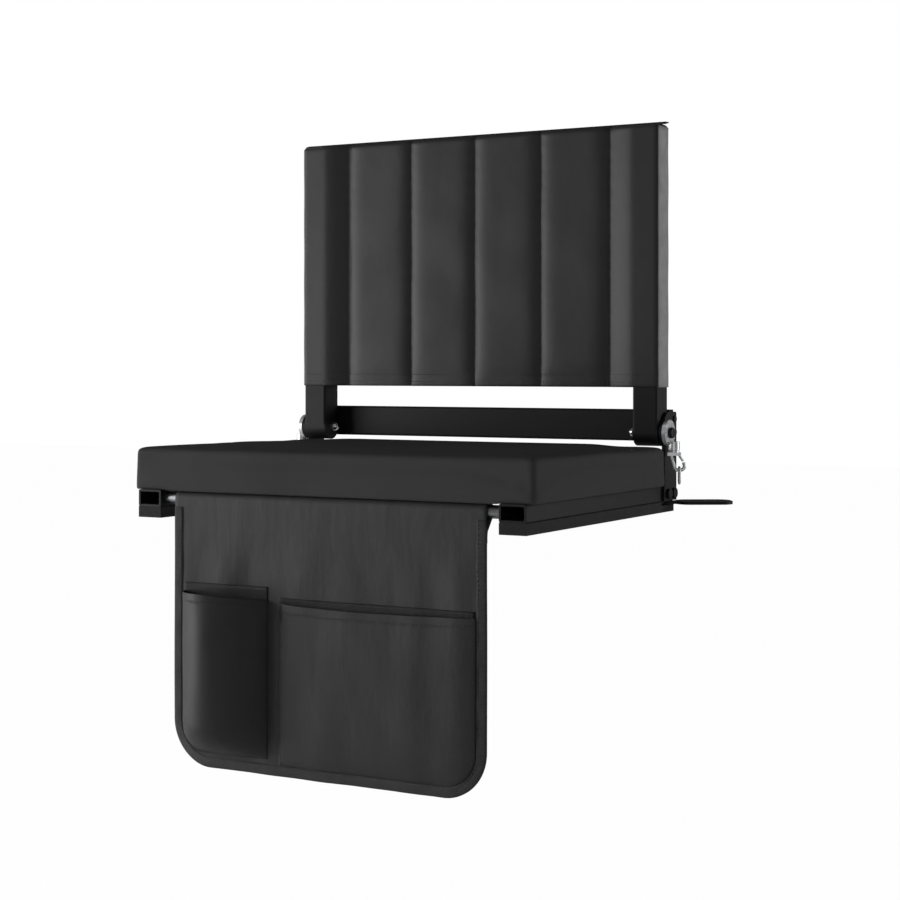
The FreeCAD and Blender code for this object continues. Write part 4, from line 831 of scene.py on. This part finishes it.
def make_apron_panel():
    """The hanging panel: one cloth that wraps the rod and is sewn to itself below it."""
    size = sizes()
    low, high = node_box("apron_panel")
    rod_low, rod_high = node_box("front_rod")
    rod_y, rod_z = (rod_low.y + rod_high.y) / 2, (rod_low.z + rod_high.z) / 2
    plane = apron_plane()
    reach = rod_y - plane
    path = [(plane + 1.5 * MM, -9 * MM), (plane + 1.5 * MM, -3 * MM), (plane + 2.2 * MM, 2 * MM)]
    for turn in np.radians(np.linspace(-62, 180, 25)):
        path.append((rod_y + reach * math.cos(turn), rod_z + reach * math.sin(turn)))
    straight = np.linspace(rod_z - 4 * MM, low.z + size.apron_corner, 56)
    corner = low.z + size.apron_corner * (1 - np.sin(np.linspace(0, np.pi / 2, 15)[1:]))
    path += [(plane, z) for z in straight] + [(plane, z) for z in corner]
    first_free = len(path) - len(straight) - len(corner)
    columns = np.linspace(-1, 1, 111)
    points = []
    for row, (y, z) in enumerate(path):
        half = apron_half(z, 0)
        for c in columns:
            x = c * half
            swing = apron_wave(x, z) if row >= first_free else 0.0
            points.append((x, y + swing, z))
    panel = new_object("apron_cloth_panel", points, grid_faces(len(path), len(columns)))
    give_walls(panel, size.cloth)
    bake_modifiers(panel)
    face_outwards(panel)
    lay_cloth_map(panel.data)
    place_piece(panel, "apron", "apron_cloth", "apron_panel")


def apron_outline(inset, step=3 * MM):
    """Points down the left side, round the bottom and up the right side, with the way inwards at each."""
    size = sizes()
    low, high = node_box("apron_panel")
    half, radius = high.x, size.apron_corner
    top = node_box("apron_binding")[1].z
    turn_z, turn_x = low.z + radius, half - radius
    points = [((-half, z), (1, 0)) for z in np.arange(top, turn_z, -step)]
    for angle in np.linspace(0, np.pi / 2, 24):
        out = (-math.cos(angle), -math.sin(angle))
        points.append(((-turn_x + radius * out[0], turn_z + radius * out[1]), (-out[0], -out[1])))
    points += [((x, low.z), (0, 1)) for x in np.arange(-turn_x + step, 1e-9, step)]
    mirrored = [((-x, z), (-a, b)) for (x, z), (a, b) in points[::-1]]
    whole = points + (mirrored[1:] if abs(points[-1][0][0]) < 1e-6 else mirrored)
    return [(x + a * inset, z + b * inset) for (x, z), (a, b) in whole]


def make_apron_binding():
    """Tape folded over the apron's edge and sewn through."""
    size = sizes()
    plane, half_cloth, thick = apron_plane(), size.cloth / 2, size.tape_thickness
    width = size.tape_width
    section = [(width, 0.1 * MM), (width - 0.4 * MM, 0.75 * thick), (0.75 * width, thick),
               (0.5 * width, 1.1 * thick), (0.2 * width, thick), (0.05 * width, 0.8 * thick),
               (-0.5 * thick, 0.2 * thick)]
    ring = [(t, -half_cloth - y) for t, y in section] + [(t, half_cloth + y) for t, y in section[::-1]]
    lines = [apron_outline(t) for t, _ in ring]
    run = 0.0
    points, strip = [], []
    for k in range(len(lines[0])):
        if k:
            run += math.dist(lines[0][k], lines[0][k - 1])
        for (t, y), line in zip(ring, lines):
            x, z = line[k]
            ripple = 0.25 * MM * math.sin(run / (7 * MM)) * (t > 0.6 * width)
            points.append((x, plane + y + apron_wave(x, z) - (ripple if y < 0 else 0), z))
            strip.append((run, t))
    count = len(ring)
    faces = grid_faces(len(lines[0]), count, around=True)
    last = (len(lines[0]) - 1) * count
    faces += [tuple(range(count))[::-1], tuple(last + i for i in range(count))]
    tape = new_object("apron_binding_tape", points, faces)
    lay_strip_map(tape.data, strip)
    face_outwards(tape)
    place_piece(tape, "apron", "binding_tape", "apron_binding")


def cup_surface(across, down):
    """A point on the cup pocket, from 0 to 1 across from its left edge and down from its lip."""
    size = sizes()
    low, high = node_box("cup_pocket")
    swell = max(math.sin(math.pi * across), 0.0)
    lip = high.z - size.cup_sag - 3.5 * MM * across + 5 * MM * swell ** 1.2
    z = lip + (low.z - lip) * down
    run = lip - z
    below = max(0.0, 1 - (z - low.z) / size.cup_foot)
    full = swell ** 0.85 * (1 - below ** 2) ** 0.7
    left = max(low.x, -apron_half(z, size.tape_width + size.pocket_margin))
    x = left + (high.x - left) * across
    bulge = (apron_plane() - size.cloth - low.y) * 0.985
    hem = 0.7 * MM * (1 - float(smooth_step(size.hem_width - 1.2 * MM, size.hem_width, run))) * swell
    dents = 1.3 * MM * soft_noise(x / 0.03, 0.1, z / 0.05, 3) * full * float(smooth_step(0, 0.03, run))
    y = apron_plane() - size.cloth * 0.9 - bulge * full - hem + dents
    return x, y + apron_wave(x, z) * (1 - full), z


def flat_surface(across, down):
    """A point on the flat pocket, from 0 to 1 across from its left edge and down from its lip."""
    size = sizes()
    low, high = node_box("flat_pocket")
    edge = abs(2 * across - 1)
    full = max(0.0, 1 - edge ** 5) ** 0.55
    lip = high.z - 1.5 * MM - size.flat_sag * math.sin(math.pi * across)
    z = lip + (low.z - lip) * down
    run = lip - z
    right = min(high.x, apron_half(z, size.tape_width + size.pocket_margin))
    x = low.x + (right - low.x) * across
    belly = (0.62 + 0.38 * float(smooth_step(0, 0.05, run))) * max(0.0, 1 - down ** 7) ** 0.6
    bulge = (apron_plane() - size.cloth - low.y) * 0.8
    hem = 0.6 * MM * (1 - float(smooth_step(size.hem_width - 1.2 * MM, size.hem_width, run))) * full
    folds = 1.6 * MM * soft_noise(x / 0.05 + z / 0.09, 0.2, z / 0.07, 4) * full * belly
    y = apron_plane() - size.cloth * 0.9 - bulge * full * belly - hem + folds
    return x, y + apron_wave(x, z), z


def make_pocket(name, node, surface, columns, rows):
    """A pocket of one cloth, sewn to the apron round its sides and foot and open at its lip."""
    points = [surface(c, r) for r in rows for c in columns]
    pocket = new_object(name, points, grid_faces(len(rows), len(columns)))
    give_walls(pocket, sizes().cloth)
    bake_modifiers(pocket)
    face_outwards(pocket)
    smooth_out(pocket)
    bake_modifiers(pocket)
    lay_cloth_map(pocket.data)
    place_piece(pocket, "apron", "apron_cloth", node)


def make_pockets():
    """The round pocket for a cup and the wide flat one beside it."""
    downs = np.concatenate([np.linspace(0, 0.07, 9), np.linspace(0.085, 0.8, 38),
                            0.8 + 0.2 * np.sin(np.linspace(0, np.pi / 2, 16)[1:])])
    across = 0.5 - 0.5 * np.cos(np.linspace(0, np.pi, 57))
    make_pocket("cup_pocket_cloth", "cup_pocket", cup_surface, across, downs)
    across = 0.5 - 0.5 * np.cos(np.linspace(0, np.pi, 65))
    make_pocket("flat_pocket_cloth", "flat_pocket", flat_surface, across, downs)


def make_pocket_mouth_shade():
    """A black strip on the panel behind the pockets' lips: painted shade of the pockets' mouths, which shows
    as a dark line above them.
    """
    size = sizes()
    cup_low, cup_high = node_box("cup_pocket")
    flat_low, flat_high = node_box("flat_pocket")
    front = apron_plane() - size.cloth / 2 - 0.35 * MM
    points, strip, faces = [], [], []
    for left, right, top, depth in ((cup_low.x, cup_high.x, cup_high.z, 18 * MM),
                                    (flat_low.x, flat_high.x, flat_high.z + size.mouth_shade_rise, 13 * MM)):
        base = len(points)
        for z in np.linspace(top, top - depth, 6):
            for x in np.linspace(left, right, 61):
                points.append((x, front + apron_wave(x, z), z))
                strip.append((x, z))
        faces += [tuple(base + i for i in face) for face in grid_faces(6, 61)]
    facing = new_object("pocket_mouth_shade_strip", points, faces)
    lay_strip_map(facing.data, strip)
    give_walls(facing, 0.7 * MM)
    bake_modifiers(facing)
    face_outwards(facing)
    # The piping's black finish paints the shade of the pockets' mouths.
    place_piece(facing, "apron", "black_piping")


# Stitches

def new_tree(name, inputs):
    """A node tree for a modifier, with named inputs, and the sockets of its ends."""
    tree = bpy.data.node_groups.new(name, "GeometryNodeTree")
    tree.interface.new_socket("Geometry", in_out="INPUT", socket_type="NodeSocketGeometry")
    tree.interface.new_socket("Geometry", in_out="OUTPUT", socket_type="NodeSocketGeometry")
    for label, kind in inputs:
        tree.interface.new_socket(label, in_out="INPUT", socket_type=kind)
    return tree, tree.nodes.new("NodeGroupInput"), tree.nodes.new("NodeGroupOutput")


def stitch_tree():
    """Lays one short thread after another along each line."""
    tree, start, end = new_tree("stitch_rows", (
        ("Pitch", "NodeSocketFloat"), ("Length", "NodeSocketFloat"), ("Thickness", "NodeSocketFloat"),
        ("Material", "NodeSocketMaterial")))
    curve = add(tree, "GeometryNodeMeshToCurve", Mesh=start.outputs["Geometry"])
    even = add(tree, "GeometryNodeResampleCurve", {"mode": "LENGTH"}, Curve=curve.outputs["Curve"],
               Length=start.outputs["Pitch"])
    places = add(tree, "GeometryNodeCurveToPoints", {"mode": "EVALUATED"}, Curve=even.outputs["Curve"])
    thread = add(tree, "GeometryNodeMeshUVSphere", Segments=6, Rings=5, Radius=0.5)
    size = add(tree, "ShaderNodeCombineXYZ", X=start.outputs["Length"], Y=start.outputs["Thickness"],
               Z=start.outputs["Thickness"])
    along = add(tree, "FunctionNodeAlignRotationToVector", {"axis": "X"},
                Vector=places.outputs["Tangent"])
    laid = add(tree, "GeometryNodeInstanceOnPoints", Points=places.outputs["Points"],
               Instance=thread.outputs["Mesh"], Rotation=along.outputs["Rotation"],
               Scale=size.outputs["Vector"])
    real = add(tree, "GeometryNodeRealizeInstances", Geometry=laid.outputs["Instances"])
    smooth = add(tree, "GeometryNodeSetShadeSmooth", Geometry=real.outputs["Geometry"])
    finish = add(tree, "GeometryNodeSetMaterial", Geometry=smooth.outputs["Geometry"],
                 Material=start.outputs["Material"])
    tree.links.new(finish.outputs["Geometry"], end.inputs[0])
    return tree


def set_inputs(modifier, tree, values):
    """Sets a modifier's inputs by the identifiers of their sockets."""
    for item in tree.interface.items_tree:
        if item.in_out == "INPUT" and item.name in values:
            modifier[item.identifier] = values[item.name]


def make_stitches(name, body, tree, lines, pitch=None, length_of_stitch=None, thread="thread"):
    """One body's stitches as one mesh. Each line is a row of points just above the cloth."""
    size = sizes()
    points, edges = [], []
    for line in lines:
        first = len(points)
        points += [tuple(p) for p in line]
        edges += [(i, i + 1) for i in range(first, len(points) - 1)]
    mesh = bpy.data.meshes.new(name)
    mesh.from_pydata(points, edges, [])
    obj = bpy.data.objects.new(name, mesh)
    bpy.context.scene.collection.objects.link(obj)
    modifier = obj.modifiers.new("stitches", "NODES")
    modifier.node_group = tree
    set_inputs(modifier, tree, {
        "Pitch": pitch or size.stitch_pitch, "Length": length_of_stitch or size.stitch_length,
        "Thickness": size.stitch_thickness, "Material": finish_of(thread)})
    bake_modifiers(obj)
    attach(obj, body)


def make_all_stitches():
    """Sewn lines of the back, the apron and its pockets."""
    size = sizes()
    tree = stitch_tree()
    low, high = node_box("back_cover")
    proud = 0.1 * MM
    heights = np.linspace(low.z + 6 * MM, high.z - size.back_edge, 90)

    def on_back(x, z):
        return x, float(back_front(np.array([x]), np.array([z]))[0]) - proud, z

    seams = [[on_back(s * size.channel_pitch, z) for z in heights] for s in range(-2, 3)]
    reach = np.linspace(low.x + 8 * MM, high.x - 8 * MM, 260)
    hems = [[on_back(x, z) for x in reach] for z in (low.z + 5 * MM, low.z + 13 * MM)]
    make_stitches("back_stitches", "backrest", tree, seams + hems)
    front = apron_plane() - size.cloth / 2
    tape_line = [(x, front - size.tape_thickness - 0.1 * MM + apron_wave(x, z), z)
                 for x, z in apron_outline(0.82 * size.tape_width)]
    half_cloth = size.cloth / 2 + proud
    cup_hem = [cup_surface(t, 0.045) for t in np.linspace(0.04, 0.96, 70)]
    flat_hem = [flat_surface(t, 0.048) for t in np.linspace(0.02, 0.98, 90)]
    rows = [[(x, y - half_cloth, z) for x, y, z in line] for line in (cup_hem, flat_hem)]
    foot = [flat_surface(0.012, d) for d in np.linspace(0.01, 0.99, 70)]
    rows.append([(x, y - half_cloth, z) for x, y, z in foot])
    make_stitches("apron_stitches", "apron", tree, [tape_line] + rows)
    corner_z = flat_surface(0.03, 0.0)[2]
    tack = []
    for k in range(13):
        z = corner_z - 1.2 * MM - k * 1.25 * MM
        x, y, _ = flat_surface(0.022, (corner_z - z) / (corner_z - node_box("flat_pocket")[0].z))
        tack.append([(x - 2 * MM, y - half_cloth, z), (x + 2 * MM, y - half_cloth - 0.1 * MM, z)])
    make_stitches("pocket_bar_tack", "apron", tree, tack, 4.1 * MM, 4 * MM, "tack_thread")


# Stage

def set_camera():
    """The photograph's view: level, from the right of the front, with the frame shifted down."""
    data = bpy.data.cameras.new("camera")
    data.sensor_width = 36
    data.lens = 74.12
    data.shift_y = -0.0914
    camera = bpy.data.objects.new("camera", data)
    camera.location = (0.9763, -1.6461, 0.15067)
    camera.rotation_euler = (math.radians(90), 0, math.radians(29.49))
    bpy.context.scene.collection.objects.link(camera)
    bpy.context.scene.camera = camera


LAMP_DISTANCE = 2.0
LAMP_WIDTH = 1.2


def add_lamp(name, direction, watts):
    """A soft square lamp that looks at the seat."""
    data = bpy.data.lights.new(name, "AREA")
    data.shape = "SQUARE"
    data.size = LAMP_WIDTH
    data.energy = watts
    lamp = bpy.data.objects.new(name, data)
    towards = Vector(direction).normalized()
    lamp.location = Vector((0, 0, 0.1)) + towards * LAMP_DISTANCE
    lamp.rotation_euler = towards.to_track_quat("Z", "Y").to_euler()
    bpy.context.scene.collection.objects.link(lamp)


def set_world():
    """White for the camera, a dim pale room for the light, and a plain pale room for reflections."""
    world = bpy.data.worlds.new("studio")
    bpy.context.scene.world = world
    world.use_nodes = True
    tree = world.node_tree
    tree.nodes.clear()
    path = add(tree, "ShaderNodeLightPath")
    room = add(tree, "ShaderNodeBackground", Color=(1, 1, 1, 1), Strength=0.04)
    mirror = add(tree, "ShaderNodeBackground", Color=(1, 1, 1, 1), Strength=0.12)
    white = add(tree, "ShaderNodeBackground", Color=(1, 1, 1, 1), Strength=1.0)
    shiny = add(tree, "ShaderNodeMath", {"operation": "MAXIMUM"}, i0=path.outputs["Is Glossy Ray"],
                i1=path.outputs["Is Transmission Ray"])
    first = add(tree, "ShaderNodeMixShader", i0=shiny.outputs[0], i1=room.outputs[0],
                i2=mirror.outputs[0])
    both = add(tree, "ShaderNodeMixShader", i0=path.outputs["Is Camera Ray"], i1=first.outputs[0],
               i2=white.outputs[0])
    add(tree, "ShaderNodeOutputWorld", Surface=both.outputs[0])


def set_floor():
    """A pale floor at a bench's height below the seat, white to the camera, with a faint shadow."""
    height = -0.43
    reach = 9.0
    points = [(x * reach, y * reach, height) for x, y in ((-1, -1), (1, -1), (1, 1), (-1, 1))]
    floor = new_object("floor", points, [(0, 1, 2, 3)])
    material, tree, shader = new_material("pale_floor")
    feed(tree, shader, Base_Color=linear("#f4f4f4"), Roughness=0.9)
    path = add(tree, "ShaderNodeLightPath")
    white = add(tree, "ShaderNodeEmission", Color=(1, 1, 1, 1), Strength=1.0)
    share = add(tree, "ShaderNodeMath", {"operation": "MULTIPLY"}, i0=path.outputs["Is Camera Ray"],
                i1=0.985)
    mixed = add(tree, "ShaderNodeMixShader", i0=share.outputs[0], i1=shader.outputs["BSDF"],
                i2=white.outputs[0])
    add(tree, "ShaderNodeOutputMaterial", {"is_active_output": True}, Surface=mixed.outputs[0])
    floor.data.materials.append(material)


def set_stage():
    """Camera, lamps, room and floor."""
    set_camera()
    add_lamp("key", (-0.95, -0.30, 0.05), 12.5)
    add_lamp("key_front", (-0.80, -0.55, 0.05), 18)
    add_lamp("fill", (0.50, -0.85, 0.05), 3.5)
    add_lamp("rim", (0.85, 0.50, 0.10), 11.5)
    add_lamp("top", (-0.30, -0.30, 0.90), 1.5)
    set_world()
    set_floor()
    bpy.context.scene.view_settings.view_transform = "Standard"


# Operators

class BuildStep:
    """One step of the build: it runs its own function and stops the script where that fails."""

    bl_options = {"REGISTER"}

    def execute(self, context):
        for make in self.steps:
            make()
        return {"FINISHED"}


class SEAT_OT_rigid_parts(BuildStep, bpy.types.Operator):
    """Give the frame, hinges, rod and clips their finishes"""

    bl_idname = "stadium_seat.rigid_parts"
    bl_label = "Frame and Fittings"
    steps = (finish_rigid_parts,)


class SEAT_OT_cushion(BuildStep, bpy.types.Operator):
    """Make the padded seat"""

    bl_idname = "stadium_seat.cushion"
    bl_label = "Seat Cushion"
    steps = (make_seat_cushion,)


class SEAT_OT_back(BuildStep, bpy.types.Operator):
    """Make the back's padded cover, its side webbing and its piping"""

    bl_idname = "stadium_seat.back"
    bl_label = "Back"
    steps = (make_back_cover, make_back_gussets, make_back_piping)


class SEAT_OT_apron(BuildStep, bpy.types.Operator):
    """Make the hanging apron, its tape and its pockets"""

    bl_idname = "stadium_seat.apron"
    bl_label = "Apron and Pockets"
    steps = (make_apron_panel, make_apron_binding, make_pockets, make_pocket_mouth_shade)


class SEAT_OT_stitches(BuildStep, bpy.types.Operator):
    """Sew the covers and the pockets"""

    bl_idname = "stadium_seat.stitches"
    bl_label = "Stitches"
    steps = (make_all_stitches,)


class SEAT_OT_stage(BuildStep, bpy.types.Operator):
    """Set up the camera, the lamps and the floor"""

    bl_idname = "stadium_seat.stage"
    bl_label = "Stage"
    steps = (set_stage,)


OPERATORS = (SEAT_OT_rigid_parts, SEAT_OT_cushion, SEAT_OT_back, SEAT_OT_apron, SEAT_OT_stitches,
             SEAT_OT_stage)


class SEAT_PT_build(bpy.types.Panel):
    """Sizes, colours and build steps of the seat"""

    bl_idname = "SEAT_PT_build"
    bl_label = "Stadium Seat"
    bl_space_type = "VIEW_3D"
    bl_region_type = "UI"
    bl_category = "Seat"

    def draw(self, context):
        for group in (context.scene.seat_sizes, context.scene.seat_colours):
            box = self.layout.box()
            for key in group.__annotations__:
                box.prop(group, key)
        for operator in OPERATORS:
            self.layout.operator(operator.bl_idname)


CLASSES = (SeatSizes, SeatColours, *OPERATORS, SEAT_PT_build)


def register():
    for item in CLASSES:
        bpy.utils.register_class(item)
    bpy.types.Scene.seat_sizes = bpy.props.PointerProperty(type=SeatSizes)
    bpy.types.Scene.seat_colours = bpy.props.PointerProperty(type=SeatColours)


def unregister():
    del bpy.types.Scene.seat_sizes
    del bpy.types.Scene.seat_colours
    for item in reversed(CLASSES):
        bpy.utils.unregister_class(item)


def main():
    register()
    bpy.ops.stadium_seat.rigid_parts()
    bpy.ops.stadium_seat.cushion()
    bpy.ops.stadium_seat.back()
    bpy.ops.stadium_seat.apron()
    bpy.ops.stadium_seat.stitches()
    bpy.ops.stadium_seat.stage()


if __name__ == "__main__":
    main()
